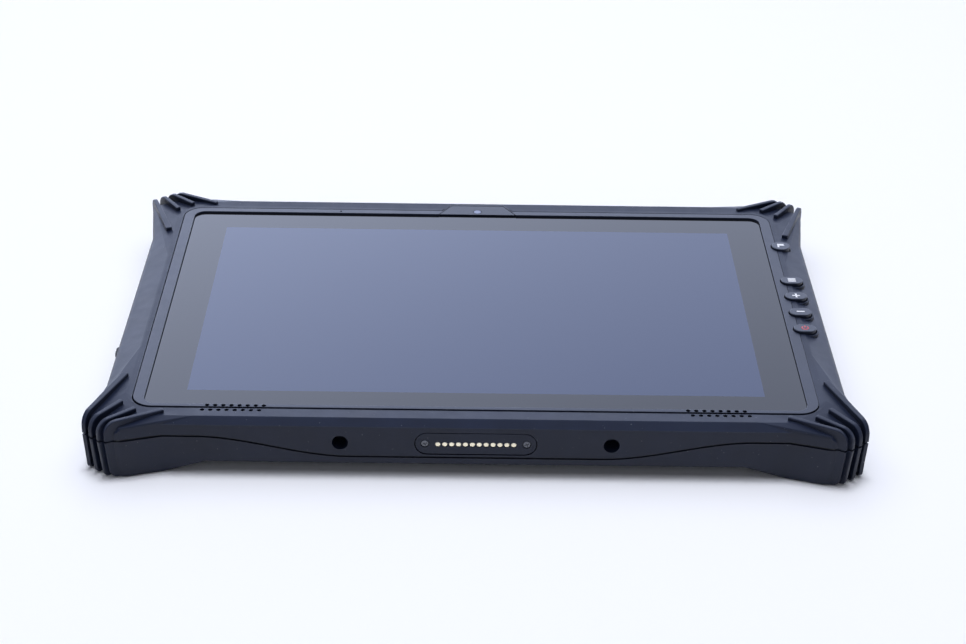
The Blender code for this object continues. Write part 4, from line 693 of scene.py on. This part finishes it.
def dress(piece, material, nodes=(), body="tablet"):
    """Gives a new piece its finish and smooth shading, and sets it in the frame."""
    piece.data.materials.clear()
    piece.data.materials.append(material)
    piece.data.shade_smooth()
    piece.data.set_sharp_from_angle(angle=math.radians(SMOOTH_ANGLE))
    piece.modifiers.new("even_normals", "WEIGHTED_NORMAL").keep_sharp = True
    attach(piece, body)
    if nodes:
        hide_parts(*nodes)


# Housing blanks
def seam_height(x):
    share = (abs(x) - SEAM_FLAT_X) / (SEAM_RISE_X - SEAM_FLAT_X)
    share = min(1.0, max(0.0, share))
    return SEAM_LOW_Z + (SEAM_HIGH_Z - SEAM_LOW_Z) * share * share * (3 - 2 * share)


def seam_slab(above, offset):
    """Everything above or below the seam surface moved by an offset."""
    reach = HALF_X + 4 * PAST
    steps = [SEAM_FLAT_X + (SEAM_RISE_X - SEAM_FLAT_X) * i / SEAM_STEPS for i in range(SEAM_STEPS + 1)]
    right = steps + [reach]
    line = [(x, seam_height(x) + offset) for x in [-x for x in reversed(right)] + right]
    far_z = TOP_Z + 4 * PAST if above else -4 * PAST
    loop = line + [(reach, far_z), (-reach, far_z)]
    depth = HALF_Y + 4 * PAST
    return outline_solid("seam_slab", [loop], -depth, depth, ACROSS_Y)


def front_blank():
    """Upper housing before it is hollowed, with its sloped bands, creases and lifted ends."""
    low = [(x, y, BACK_Z - PAST) for x, y in CORNER_PLAN]
    drops = (SIDE_DROP, CORNER_DROP, CORNER_DROP, END_DROP)
    wall = [(x, y, TOP_Z - drop) for (x, y), drop in zip(CORNER_PLAN, drops)]
    side_start = (TOP_HALF_X, HALF_Y - CREASE_SIDE, TOP_Z)
    end_start = (HALF_X - CREASE_END, TOP_HALF_Y, TOP_Z + END_LIFT)
    crease_z = TOP_Z - CORNER_CREASE
    crease = [(x - CORNER_CREASE, y - CORNER_CREASE, crease_z) for x, y in (CORE_SIDE, CORE_END)]
    crease = [side_start, *crease, end_start]
    side_top = (TOP_HALF_X + OVERLAP, HALF_Y - CORNER_TOP_SIDE, TOP_Z)
    end_top = (HALF_X - CORNER_TOP_END, TOP_HALF_Y - OVERLAP, TOP_Z)
    top = [side_start, side_top, end_top, end_start]
    level_x = TOP_HALF_X - FRAME_SIDE - OVERLAP
    level_y = -RIM_LOW.y - OVERLAP
    level = [(level_x, HALF_Y - CREASE_SIDE, TOP_Z), (level_x, HALF_Y - CORNER_TOP_SIDE, TOP_Z)]
    level += [(HALF_X - CREASE_END + shift, level_y, TOP_Z) for shift in (PAST / 3, 0.0)]
    bm = bmesh.new()
    loft(bm, [mirrored(ring) for ring in (low, wall, crease, top, level)])
    bmesh.ops.remove_doubles(bm, verts=bm.verts, dist=GAP / 100)

    def in_level(point):
        return abs(point.x) < level_x + GAP and abs(point.y) < level_y + GAP

    def rule(lower, upper):
        """An edge's share of the rounding, from its two ends."""
        if upper.z < BACK_Z or in_level(lower) or in_level(upper):
            return 0.0
        if lower.z > TOP_Z + END_LIFT / 2:
            return END_SHARE
        if upper.z > crease_z - GAP and lower.z > crease_z - GAP:
            return CRISP_SHARE
        if upper.z > crease_z - GAP:
            return 0.0
        return 1.0

    layer = bm.edges.layers.float.new("bevel_weight_edge")
    for edge in bm.edges:
        edge[layer] = rule(*sorted((v.co for v in edge.verts), key=lambda co: co.z))
    return round_edges(to_object("front_housing", bm), SOFT_EDGE, 5, weighted=True)


def round_corner(before, corner, after):
    """The points of an even curve that cuts a corner, tangent to both of its sides."""
    corner = Vector(corner)
    start = corner + (Vector(before) - corner).normalized() * CORE_ROUND
    end = corner + (Vector(after) - corner).normalized() * CORE_ROUND
    points = []
    for i in range(CORE_ROUND_STEPS + 1):
        share = i / CORE_ROUND_STEPS
        points.append(tuple(start.lerp(corner, share).lerp(corner.lerp(end, share), share)))
    return points


def rear_blank():
    """Lower housing before it is hollowed: drafted walls, a rounded foot at each corner and ramps."""
    ramp_x = HALF_X - FOOT_RAMP_END
    ramp_y = HALF_Y - FOOT_RAMP_SIDE
    bend = round_corner(CORE_SIDE, CORE_END, END_FLARE)
    plan = [(HALF_X, ramp_y), SIDE_FLARE, CORE_SIDE] + bend + [END_FLARE, (ramp_x, HALF_Y)]
    count = len(plan)
    floor = [BACK_Z] + [0.0] * (count - 2) + [BACK_Z]
    inward = [(-1, 0), (-1, 0), (-1, -FOOT_SLANT)]
    inward += [(-FOOT_SLANT, -1)] * len(bend) + [(0, -1), (0, -1)]
    draft = [RAMP_DRAFT_SHARE, FLARE_DRAFT_SHARE]
    draft = draft + [1.0] * (len(bend) + 1) + draft[::-1]

    def ring(heights, amounts):
        rows = zip(plan, heights, inward, amounts)
        return mirrored([(x + dx * by, y + dy * by, z) for (x, y), z, (dx, dy), by in rows])

    rings = []
    for i in range(FOOT_ROUND_STEPS + 1):
        turn = QUARTER * i / FOOT_ROUND_STEPS
        heights = [z + FOOT_ROUND * (1 - math.cos(turn)) for z in floor]
        amounts = [share * FOOT_DRAFT + FOOT_ROUND * (1 - math.sin(turn)) for share in draft]
        rings.append(ring(heights, amounts))
    for z in (SEAM_HIGH_Z - GAP, TOP_Z - SIDE_DROP):
        rings.append(ring([z] * count, [0.0] * count))
    bm = bmesh.new()
    rows = loft(bm, rings, floor=False)
    back = []
    for corner, (sx, sy) in enumerate(CORNERS):
        quarter = rows[0][corner * count:(corner + 1) * count]
        if sx * sy < 0:
            quarter = quarter[::-1]
        foot = bm.verts.new((sx * END_FLARE[0], sy * SIDE_FLARE[1], 0.0))
        ramp = bm.verts.new((sx * ramp_x, sy * ramp_y, BACK_Z))
        bm.faces.new(quarter[1:-1] + [foot])
        bm.faces.new((quarter[0], quarter[1], foot, ramp))
        bm.faces.new((quarter[-2], quarter[-1], ramp, foot))
        ends = [quarter[0], ramp, quarter[-1]]
        back += ends if sx * sy > 0 else ends[::-1]
    bm.faces.new(back)
    return to_object("rear_housing", bm)


def fin_set(number):
    """One fin at all four corners: level crest, round shoulder and drafted foot."""
    thick, foot, draft, _, _, length, _ = (size * MM for size in FINS[number])
    top = TOP_Z + FIN_RISE
    bend = FIN_SHOULDER_R
    profile = [(-length, top)]
    profile += arc(-bend, top - bend, bend, QUARTER, 0, 9)
    profile.append((0.0, SEAM_HIGH_Z))
    profile += arc(-draft - foot, GAP + foot, foot, 0, -QUARTER, 6)
    profile += [(-FIN_ROOT, GAP), (-FIN_ROOT, SEAM_HIGH_Z - PAST), (-length, CEILING_Z + OVERLAP)]
    taper = FIN_TIP_THICK / thick - 1.0
    fin = outline_solid("fin", [profile], -thick / 2, thick / 2, ACROSS_Y)
    round_edges(fin, FIN_ROUND, angle=50.0)
    for vertex in fin.data.vertices:
        vertex.co.y *= 1.0 + taper * (1.0 + vertex.co.x / length)
    return to_corners(fin, number)


def fin_lips(number):
    """Low bars that close the seam inside a fin, so that no light shows through it."""
    half = FIN_TIP_THICK / 2 - FIN_LIP_DEPTH
    top = SEAM_HIGH_Z + SEAM_GAP / 2 - GAP / 10
    low = (-FIN_ROOT, -half, SEAM_HIGH_Z - SEAM_GAP)
    return to_corners(box_solid("lip", low, (-FIN_LIP_DEPTH, half, top)), number)


def to_corners(piece, number):
    """Sets a piece made along X at one fin's tip and direction, mirrored to all four corners."""
    _, _, _, tip_x, tip_y, _, direction = FINS[number]
    turn = Matrix.Rotation(math.radians(direction), 4, "Z")
    place = Matrix.Translation((HALF_X + tip_x * MM, HALF_Y + tip_y * MM, 0)) @ turn
    pieces = []
    for sx, sy in CORNERS:
        mesh = piece.data.copy()
        mesh.transform(Matrix.Diagonal((sx, sy, 1, 1)) @ place)
        if sx * sy < 0:
            mesh.flip_normals()
        pieces.append(new_object(piece.name, mesh))
    bpy.data.objects.remove(piece)
    return join("corner_set", pieces)


CAVITY_PLAN = inset(mirrored(CORNER_PLAN), SHELL_WALL)


# Outlines shared by the housing and what it holds
def rim_outline(grow, near_grow):
    """The rim's outer line, with the trapezoid tab on its far side."""
    low = RIM_LOW.y - near_grow
    high = RIM_FAR_Y + grow
    side = RIM_HIGH.x + grow
    steps = 12
    points = rounded_box(-side, low, side, high, RIM_CORNER_R + grow, steps)
    base = TAB_BASE_HALF + grow
    tip = TAB_TOP_HALF + grow
    tab = [(base, high), (tip, high + TAB_REACH), (-tip, high + TAB_REACH), (-base, high)]
    return points[:steps + 1] + tab + points[steps + 1:]


def glass_outline(grow=0.0):
    side = GLASS_HIGH.x + grow
    return rounded_box(-side, GLASS_NEAR_Y - grow, side, GLASS_HIGH.y + grow, GLASS_CORNER_R + grow)


def key_box(key):
    """The corners and middle of a key's room, which may be shorter at its outer end."""
    low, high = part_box(key + "_key")
    high = high - Vector((KEY_TRIMS.get(key, 0.0), 0.0, 0.0))
    return low, high, (low + high) / 2


def key_solid(name, key, grow, low, high):
    """An upright oval solid over a key's place, wider than its cap by a margin."""
    box_low, box_high, middle = key_box(key)
    size = box_high - box_low
    spare = 2 * (grow - KEY_FLANGE)
    outline = stadium(size.x + spare, size.y + spare, centre=(middle.x, middle.y))
    return outline_solid(name, [outline], low, high)


def key_room():
    """What is cut away for the keys."""
    span = (KEY_HOLE_GAP, CEILING_Z - PAST, TOP_Z + PAST)
    return join("key_holes", [key_solid("key_hole", key, *span) for key in KEY_NAMES])


def sound_row(first_x, y):
    """One row of holes on both sides of the middle."""
    holes = []
    for sign in (1, -1):
        for i in range(SOUND_HOLE_COUNT):
            place = Vector((sign * (first_x + SOUND_HOLE_PITCH * i), y))
            holes.append(upright("hole", SOUND_HOLE_R, place, CEILING_Z - PAST, TOP_Z + PAST, 16))
    return join("sound_row", holes)


def middle_of(node):
    low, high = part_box(node)
    return (low + high) / 2


def round_room(node):
    """An upright round piece's middle, the radius of its hole, and its lowest and highest Z."""
    low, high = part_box(node)
    return (low + high) / 2, (high.x - low.x) / 2 + GAP, low.z, high.z


def dock_bar(radius, x, start_y, end_y, steps=24):
    """A round bar along Y at the docking plate's height."""
    return bar("dock_bar", radius, (x, start_y, DOCK_Z), (x, end_y, DOCK_Z), steps)


def plate_solid(name, grow, past, steps):
    """The docking plate's oval, grown by a margin and carried past the wall."""
    size = PLATE_HIGH - PLATE_LOW
    outline = stadium(size.x + 2 * grow, size.z + 2 * grow, steps, (0.0, DOCK_Z))
    return outline_solid(name, [outline], -PLATE_HIGH.y - grow, HALF_Y + past, ACROSS_Y)


def lean(made, above_z, near_rise, far_rise):
    """Raises what lies above a height, by amounts that change evenly from near to far."""
    for vertex in made.data.vertices:
        if vertex.co.z > above_z:
            share = (vertex.co.y - RIM_LOW.y) / (RIM_FAR_Y - RIM_LOW.y)
            vertex.co.z += near_rise + (far_rise - near_rise) * share


# Front housing
def screen_border():
    """A low step round the rim, sunk on the near side and level with the rim on the far side."""
    side = RIM_HIGH.x + BORDER_WIDTH
    corner = RIM_CORNER_R + BORDER_WIDTH
    outline = rounded_box(-side, RIM_LOW.y, side, RIM_FAR_Y + BORDER_WIDTH, corner)
    border = outline_solid("border", [outline], POCKET_Z - OVERLAP, TOP_Z)
    lean(border, TOP_Z - OVERLAP, -OVERLAP / 6, BORDER_LIFT)
    return border


def front_housing():
    shell = front_blank()
    collars = []
    for key in KEY_NAMES[1:]:
        collar = key_solid("collar", key, KEY_COLLAR, CEILING_Z, TOP_Z - KEY_COLLAR_DROP)
        collars.append(round_edges(collar, KEY_COLLAR_ROUND, angle=40.0))
    combine(shell, "UNION", [fin_set(i) for i in range(len(FINS))])
    combine(shell, "UNION", [screen_border(), join("collars", collars)])
    cavity = outline_solid("cavity", [CAVITY_PLAN], -PAST, CEILING_Z)
    combine(shell, "DIFFERENCE", [seam_slab(False, SEAM_GAP / 2), cavity])

    near = -HALF_Y
    sleeve_r = DOCK_HOLE_R + DOCK_SLEEVE_WALL
    ends = (near + SHELL_WALL - OVERLAP, near + DOCK_HOLE_DEPTH + DOCK_SLEEVE_WALL)
    sleeves = [dock_bar(sleeve_r, x, *ends) for x in (DOCK_HOLE_X, -DOCK_HOLE_X)]
    combine(shell, "UNION", [join("sleeves", sleeves)])

    start = (PANEL_LOW.x, PANEL_LOW.y, CEILING_Z - PAST)
    end = (PANEL_HIGH.x, PANEL_HIGH.y, POCKET_Z + OVERLAP)
    opening = box_solid("opening", start, end, (GAP, GAP, 0))
    pocket = outline_solid("pocket", [rim_outline(RIM_ROOM, GAP / 10)], POCKET_Z, TOP_Z + PAST)
    pocket.data.transform(Matrix.Translation((-RIM_SHIFT, 0, 0)))
    plate_pocket = plate_solid("plate_pocket", GAP, PAST, 20)
    start = (STRIP_LOW.x - GAP, near + OVERLAP, STRIP_LOW.z - GAP)
    end = (STRIP_HIGH.x + GAP, near + SHELL_WALL + PAST, STRIP_HIGH.z + GAP)
    cuts = [box_solid("strip_window", start, end)]
    for side in ("left", "right"):
        x = middle_of("dock_screw_" + side).x
        cuts.append(dock_bar(SHANK_HOLE_R, x, near, near + SHELL_WALL + PAST))
    for x in (DOCK_HOLE_X, -DOCK_HOLE_X):
        cuts.append(dock_bar(DOCK_HOLE_R, x, near - PAST, near + DOCK_HOLE_DEPTH, 40))
    rows = [sound_row(SOUND_FIRST_X, RIM_ROW_Y), sound_row(SOUND_FIRST_X + SOUND_ROW_SHIFT, FRAME_ROW_Y)]
    combine(shell, "DIFFERENCE", [plate_pocket, join("cuts", cuts), opening, pocket, key_room()] + rows)
    dress(shell, HOUSING, ["front_shell"])


# Rear housing
def rear_housing():
    shell = rear_blank()
    combine(shell, "UNION", [fin_set(i) for i in range(len(FINS))])
    cavity = outline_solid("cavity", [CAVITY_PLAN], FLOOR_Z, TOP_Z + PAST)
    combine(shell, "DIFFERENCE", [seam_slab(True, -SEAM_GAP / 2), cavity])
    combine(shell, "UNION", [fin_lips(i) for i in range(len(FINS))])

    low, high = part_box("battery_pack")
    start = (low.x, low.y, BACK_Z - PAST)
    end = (high.x, high.y, FLOOR_Z + OVERLAP)
    cuts = [box_solid("battery_window", start, end, (BATTERY_ROOM, BATTERY_ROOM, 0))]
    bosses = []
    for number in range(1, 9):
        middle, radius, low, high = round_room(f"housing_screw_{number}")
        boss_top = FLOOR_Z + SCREW_BOSS_RISE
        bosses.append(upright("boss", radius + BOSS_WALL, middle, FLOOR_Z - OVERLAP, boss_top))
        cuts.append(upright("hole", radius, middle, BACK_Z - PAST, low + CASE_SCREW[1]))
    for number in range(1, 5):
        middle, radius, low, high = round_room(f"bracket_insert_{number}")
        boss_top = high + GAP + INSERT_BOSS_ROOF
        bosses.append(upright("boss", radius + BOSS_WALL, middle, FLOOR_Z - OVERLAP, boss_top))
        cuts.append(upright("hole", radius, middle, BACK_Z - PAST, high + GAP))
        middle = middle_of(f"battery_cover_screw_{number}")
        cuts.append(upright("hole", SHANK_HOLE_R, middle, BACK_Z - PAST, FLOOR_Z + PAST))
    middle, radius, low, high = round_room("rear_camera_window")
    cuts.append(upright("hole", radius, middle, BACK_Z - PAST, high + GAP, 48))
    start = (-HALF_X - PAST, COVER_LOW.y - GAP, COVER_LOW.z - GAP)
    end = (COVER_HIGH.x + GAP, ANCHOR_HIGH.y + GAP, COVER_HIGH.z + GAP)
    bay = box_solid("port_bay", start, end)
    through = [upright("hole", REAR_CAMERA_HOLE_R, middle, BACK_Z - PAST, FLOOR_Z + PAST)]
    for socket in ("usb_a_socket", "usb_c_socket", "power_jack"):
        low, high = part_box(socket)
        start = (COVER_HIGH.x - OVERLAP, low.y, low.z)
        end = (COVER_HIGH.x + SHELL_WALL + PAST, high.y, high.z)
        through.append(box_solid("socket_hole", start, end, (0, GAP, GAP)))
    combine(shell, "UNION", [join("bosses", bosses)])
    combine(shell, "DIFFERENCE", [join("cuts", cuts), bay, join("through", through)])
    dress(shell, HOUSING, ["rear_shell"])


# Screen rim, glass and camera tab
def screen():
    loops = [rim_outline(-RIM_TRIM, -RIM_NEAR_TRIM), glass_outline(GLASS_ROOM)]
    rim = outline_solid("screen_rim", loops, RIM_LOW.z, RIM_HIGH.z)
    round_edges(rim, RIM_ROUND)
    lean(rim, (RIM_LOW.z + RIM_HIGH.z) / 2, -RIM_NEAR_SINK, -RIM_FAR_SINK)
    slant = (TAB_BASE_HALF - TAB_TOP_HALF) / TAB_REACH
    near = WINDOW_LOW.y - PAST
    far = WINDOW_HIGH.y + GAP
    near_half = WINDOW_HIGH.x + GAP + slant * PAST
    far_half = near_half - slant * (far - near)
    loop = [(near_half, near), (far_half, far), (-far_half, far), (-near_half, near)]
    recess = outline_solid("recess", [loop], WINDOW_LOW.z - GAP, RIM_HIGH.z + PAST)
    hole = upright("hole", MICROPHONE_HOLE_R, middle_of("microphone"), CEILING_Z - PAST, TOP_Z + PAST)
    combine(rim, "DIFFERENCE", [recess, key_room(), sound_row(SOUND_FIRST_X, RIM_ROW_Y), hole])
    dress(rim, RIM, ["display_rim"])

    pane = outline_solid("screen_glass", [glass_outline()], GLASS_LOW.z, GLASS_HIGH.z - GLASS_SINK)
    round_edges(pane, GLASS_ROUND)
    dress(pane, GLASS, ["cover_glass"])


# Keys and their printed marks
def key_cap(key):
    """A cap with a wide flange under the housing, upright sides and a soft round top edge."""
    low, high, middle = key_box(key)
    length = high.x - low.x
    width = high.y - low.y
    flange_top = low.z + KEY_FLANGE_THICK
    shoulder = high.z - MARK_RISE - KEY_ROUND
    steps = [(0.0, low.z), (0.0, flange_top), (KEY_FLANGE, flange_top), (KEY_FLANGE, shoulder)]
    steps += [(KEY_FLANGE + margin, z) for margin, z in round_top(shoulder, KEY_ROUND, 6)]
    cap = oval_stack(key + "_cap", length, width, steps, (middle.x, middle.y))
    dress(cap, KEY, [key + "_key"], key + "_key")


def bar_outline(centre_y, width, height):
    x = width / 2
    y = height / 2
    return [(-x, centre_y - y), (x, centre_y - y), (x, centre_y + y), (-x, centre_y + y)]


def key_marks():
    """Generic marks: a flag, three menu bars, plus, minus, and a ring with a stroke for power."""
    arm = MARK_WIDE / 2
    half = MARK_THIN / 2
    plus = [(arm, -half), (arm, half), (half, half), (half, arm), (-half, arm), (-half, half)]
    plus += [(-x, -y) for x, y in plus]
    flag = [(x * MM, y * MM) for x, y in FLAG_LOW + FLAG_HIGH]
    gap_angle = math.radians(POWER_GAP_HALF)
    first = QUARTER + gap_angle
    last = QUARTER + 2 * math.pi - gap_angle
    ring = arc(0.0, 0.0, POWER_R, first, last, 28) + arc(0.0, 0.0, POWER_BORE_R, last, first, 28)
    marks = {
        "function": [flag],
        "menu": [bar_outline(y, MARK_WIDE, MARK_THIN) for y in (-MENU_PITCH, 0.0, MENU_PITCH)],
        "volume_up": [plus],
        "volume_down": [bar_outline(0.0, MARK_WIDE, MARK_THIN)],
        "power": [ring, bar_outline(POWER_BORE_R, *POWER_STROKE)],
    }
    for key, outlines in marks.items():
        _, high, middle = key_box(key)
        pieces = []
        for outline in outlines:
            moved = [(middle.x + x, middle.y + y) for x, y in outline]
            pieces.append(outline_solid("stroke", [moved], high.z - MARK_DEPTH, high.z - MARK_SINK))
        ink = RED_INK if key == "power" else WHITE_INK
        dress(join(key + "_mark", pieces), ink, body=key + "_key")


# Docking plate, contacts and screws
def cross_screw(name, node, sizes, facing):
    """A domed cross-head screw that stands for a plain one, its head along facing."""
    head_r, head_thick, shank_r = sizes
    low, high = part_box(node)
    axis = Vector(facing)
    reach = abs(((high - low) / 2).dot(axis))
    length = 2 * reach - head_thick
    start = (low + high) / 2 - axis * reach
    edge = head_thick * HEAD_EDGE_SHARE
    rise = length + head_thick - edge
    profile = [(shank_r, 0.0), (shank_r, length), (head_r, length), (head_r, rise)]
    profile += [(head_r - margin, z) for margin, z in round_top(rise, edge, 4)]
    made = turned(name, profile, start, facing)
    arm = head_r * CROSS_REACH_SHARE
    half = head_r * CROSS_HALF_SHARE
    cross = [(arm, half), (half, half), (half, arm), (-half, arm), (-half, half), (-arm, half)]
    cross += [(-x, -y) for x, y in cross]
    floor = length + head_thick * CROSS_FLOOR_SHARE
    tool = outline_solid("cross", [cross], floor, length + head_thick * 2)
    cross_turn = Matrix.Rotation(math.radians(CROSS_TURN), 4, "Z")
    tool.data.transform(placed(start, facing) @ cross_turn)
    combine(made, "DIFFERENCE", [tool])
    dress(made, BLACK_STEEL, [node])


def dock():
    plate = plate_solid("contact_plate", 0.0, 0.0, 24)
    round_edges(plate, PLATE_ROUND)
    near = -HALF_Y
    holes = []
    pins = []
    for i in range(CONTACT_COUNT):
        x = (i - (CONTACT_COUNT - 1) / 2) * CONTACT_PITCH
        spare = 2 * CONTACT_ROOM
        outline = stadium(CONTACT_LENGTH + spare, CONTACT_WIDTH + spare, 12, (x, CONTACT_Z))
        holes.append(outline_solid("hole", [outline], HALF_Y - PAST, HALF_Y + PAST, ACROSS_Y))
        base = -PLATE_HIGH.y - OVERLAP
        shoulder = -STRIP_LOW.y - CONTACT_CROWN
        steps = [(0.0, base), (0.0, shoulder)] + round_top(shoulder, CONTACT_CROWN, 4)
        pin = oval_stack("pin", CONTACT_LENGTH, CONTACT_WIDTH, steps, (x, CONTACT_Z))
        pin.data.transform(ACROSS_Y)
        pins.append(pin)
    for side in ("left", "right"):
        x = middle_of("dock_screw_" + side).x
        holes.append(dock_bar(PLATE_SCREW_ROOM_R, x, near - PAST, near + PLATE_SCREW_SEAT, 32))
    combine(plate, "DIFFERENCE", [join("plate_holes", holes)])
    dress(plate, HOUSING, ["dock_plate"])
    carrier = box_solid("carrier", (STRIP_LOW.x, PLATE_HIGH.y + GAP, STRIP_LOW.z), STRIP_HIGH)
    contacts = join("gold_contacts", [carrier] + pins)
    dress(contacts, GOLD, ["dock_contacts"])
    for side in ("left", "right"):
        cross_screw("plate_screw_" + side, "dock_screw_" + side, PLATE_SCREW, (0, -1, 0))


# Port cover and its anchor
def flap_solid(name, low, high):
    """A plate with soft edges between two corners, as thick as the anchor."""
    outline = rounded_box(low.y, low.z, high.y, high.z, FLAP_CORNER_R, 6)
    return round_edges(outline_solid(name, [outline], ANCHOR_LOW.x, ANCHOR_HIGH.x, ACROSS_X), FLAP_ROUND)


def port_cover():
    flap = flap_solid("port_flap", COVER_LOW, COVER_HIGH)
    near = COVER_LOW.y + PULL_START
    inner = ANCHOR_HIGH.x - OVERLAP
    tab = rounded_box(COVER_LOW.x, near, inner, near + PULL_LENGTH, PULL_CORNER_R, 8)
    tab_top = COVER_HIGH.z - OVERLAP
    pull = outline_solid("pull", [tab], tab_top - PULL_THICK, tab_top)
    combine(flap, "UNION", [round_edges(pull, PULL_ROUND)])
    dress(flap, RUBBER, ["port_cover"], "port_cover")
    anchor = flap_solid("port_flap_anchor", ANCHOR_LOW, ANCHOR_HIGH)
    dress(anchor, RUBBER, ["port_cover_anchor"])


# Back fittings
def back_fittings():
    low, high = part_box("battery_cover")
    outline = rounded_box(low.x, low.y, high.x, high.y, LID_CORNER_R, 8)
    lid = outline_solid("battery_lid", [outline], low.z, high.z)
    round_edges(lid, LID_ROUND)
    holes = []
    for number in range(1, 5):
        middle = middle_of(f"battery_cover_screw_{number}")
        holes.append(upright("hole", LID_SCREW_ROOM_R, middle, -PAST, low.z + LID_SCREW_SEAT))
    combine(lid, "DIFFERENCE", [join("lid_holes", holes)])
    dress(lid, HOUSING, ["battery_cover"])
    down = (0, 0, -1)
    for number in range(1, 5):
        cross_screw(f"lid_screw_{number}", f"battery_cover_screw_{number}", LID_SCREW, down)
    for number in range(1, 9):
        cross_screw(f"case_screw_{number}", f"housing_screw_{number}", CASE_SCREW, down)
    for number in range(1, 5):
        node = f"bracket_insert_{number}"
        low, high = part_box(node)
        middle = (low + high) / 2
        outer = (high.x - low.x) / 2
        height = high.z - low.z
        steps = range(THREAD_POINTS)
        bore = [(THREAD_R - THREAD_DEPTH * (k % 2), THREAD_PITCH / 2 * k) for k in steps]
        profile = [(outer, 0.0), (outer, height), (INSERT_TIP_R, height), (INSERT_TIP_R, bore[-1][1])]
        profile += bore[::-1]
        place = (middle.x, middle.y, low.z)
        insert = turned(f"thread_insert_{number}", profile, place, steps=28, closed=True)
        dress(insert, BRASS, [node])


# Finishes of the pieces that keep their own shape
def finish_frame_nodes():
    by_slot = {
        "glass": LENS, "panel": GLASS, "rubber": RUBBER, "steel": STEEL, "aluminium": ALUMINIUM,
        "copper": COPPER, "board": BOARD, "battery": BATTERY, "black_steel": BLACK_STEEL, "gold": GOLD,
        "brass": BRASS, "housing": HOUSING, "rim": RIM, "key": KEY,
    }
    for row in frame["record"]["subparts"]:
        mesh = frame["nodes"][row["node"]].data
        mesh.materials.clear()
        is_window = row["node"] == "camera_window"
        mesh.materials.append(WINDOW if is_window else by_slot[row["material_slot"]])


# Floor, light and camera
def stage():
    bm = bmesh.new()
    bmesh.ops.create_grid(bm, x_segments=2, y_segments=2, size=6.0)
    floor = linked("floor", bm)
    finish = Finish("pale_floor", (0.92, 0.92, 0.92), 0.8)
    finish.colour(finish.mix(finish.noise(0.4, 2.0), (0.92, 0.92, 0.92), (0.91, 0.91, 0.91)))
    floor.data.materials.append(finish.material)


def studio_light():
    """A dome for reflections, brightest low on the far side, and soft lights for the rest."""
    world = bpy.data.worlds.new("studio")
    bpy.context.scene.world = world
    world.use_nodes = True
    tree = world.node_tree
    direction = tree.nodes.new("ShaderNodeSeparateXYZ")
    fill(tree, direction, {"Vector": tree.nodes.new("ShaderNodeTexCoord").outputs["Generated"]})

    def slope(axis, dark, bright, least):
        """A share that grows smoothly along one axis, from least at dark to 1 at bright."""
        ramp = tree.nodes.new("ShaderNodeMapRange")
        ramp.interpolation_type = "SMOOTHSTEP"
        fill(tree, ramp, {"From Min": dark, "From Max": bright, "To Min": least})
        return fill(tree, ramp, {"Value": direction.outputs[axis]}).outputs["Result"]

    share = slope(*SCREEN_SLOPES[0])
    for row in SCREEN_SLOPES[1:]:
        share = reckon(tree, "MULTIPLY", share, slope(*row))
    level = reckon(tree, "ADD", reckon(tree, "MULTIPLY", share, SCREEN_LEVEL), DOME_LEVEL)
    zenith = reckon(tree, "MULTIPLY", slope(*ZENITH_SLOPE), ZENITH_LEVEL)
    level = reckon(tree, "ADD", level, zenith)
    fill(tree, tree.nodes["Background"], {"Color": (*LIGHT_TINT, 1.0), "Strength": level})
    world.cycles_visibility.diffuse = False

    for name, place, size, watts in SOFT_LIGHTS:
        light = bpy.data.lights.new(name, "AREA")
        light.shape = "DISK"
        light.size = size
        light.energy = watts
        light.color = SOFT_TINT
        holder = new_object(name, light)
        holder.location = place
        holder.rotation_euler = Vector(place).to_track_quat("Z", "Y").to_euler()
        holder.visible_glossy = False
        holder.visible_camera = False


def camera():
    """The photograph's view, solved from the object's known sizes."""
    pixels_wide = 966
    focal_pixels = 2020.4
    elevation = math.radians(29.36)
    azimuth = math.radians(-0.45)
    roll = math.radians(0.94)
    distance = 805.1 * MM
    target = Vector((2.5 * MM, -16.63 * MM, 23.0 * MM))
    level = math.cos(elevation)
    back = Vector((math.sin(azimuth) * level, -math.cos(azimuth) * level, math.sin(elevation)))
    right = Vector((math.cos(azimuth), math.sin(azimuth), 0.0))
    up = back.cross(right)
    turned_right = right * math.cos(roll) + up * math.sin(roll)
    turned_up = up * math.cos(roll) - right * math.sin(roll)
    lens = bpy.data.cameras.new("camera")
    lens.sensor_width = 36.0
    lens.lens = focal_pixels / pixels_wide * lens.sensor_width
    lens.clip_start = 0.01
    lens.clip_end = 50.0
    made = new_object("camera", lens)
    axes = Matrix((turned_right, turned_up, back)).transposed().to_4x4()
    made.matrix_world = Matrix.Translation(target + back * distance) @ axes
    bpy.context.scene.camera = made


finish_frame_nodes()
front_housing()
rear_housing()
screen()
for key_name in KEY_NAMES:
    key_cap(key_name)
key_marks()
dock()
port_cover()
back_fittings()
stage()
studio_light()
camera()
bpy.context.scene.view_settings.view_transform = "Standard"
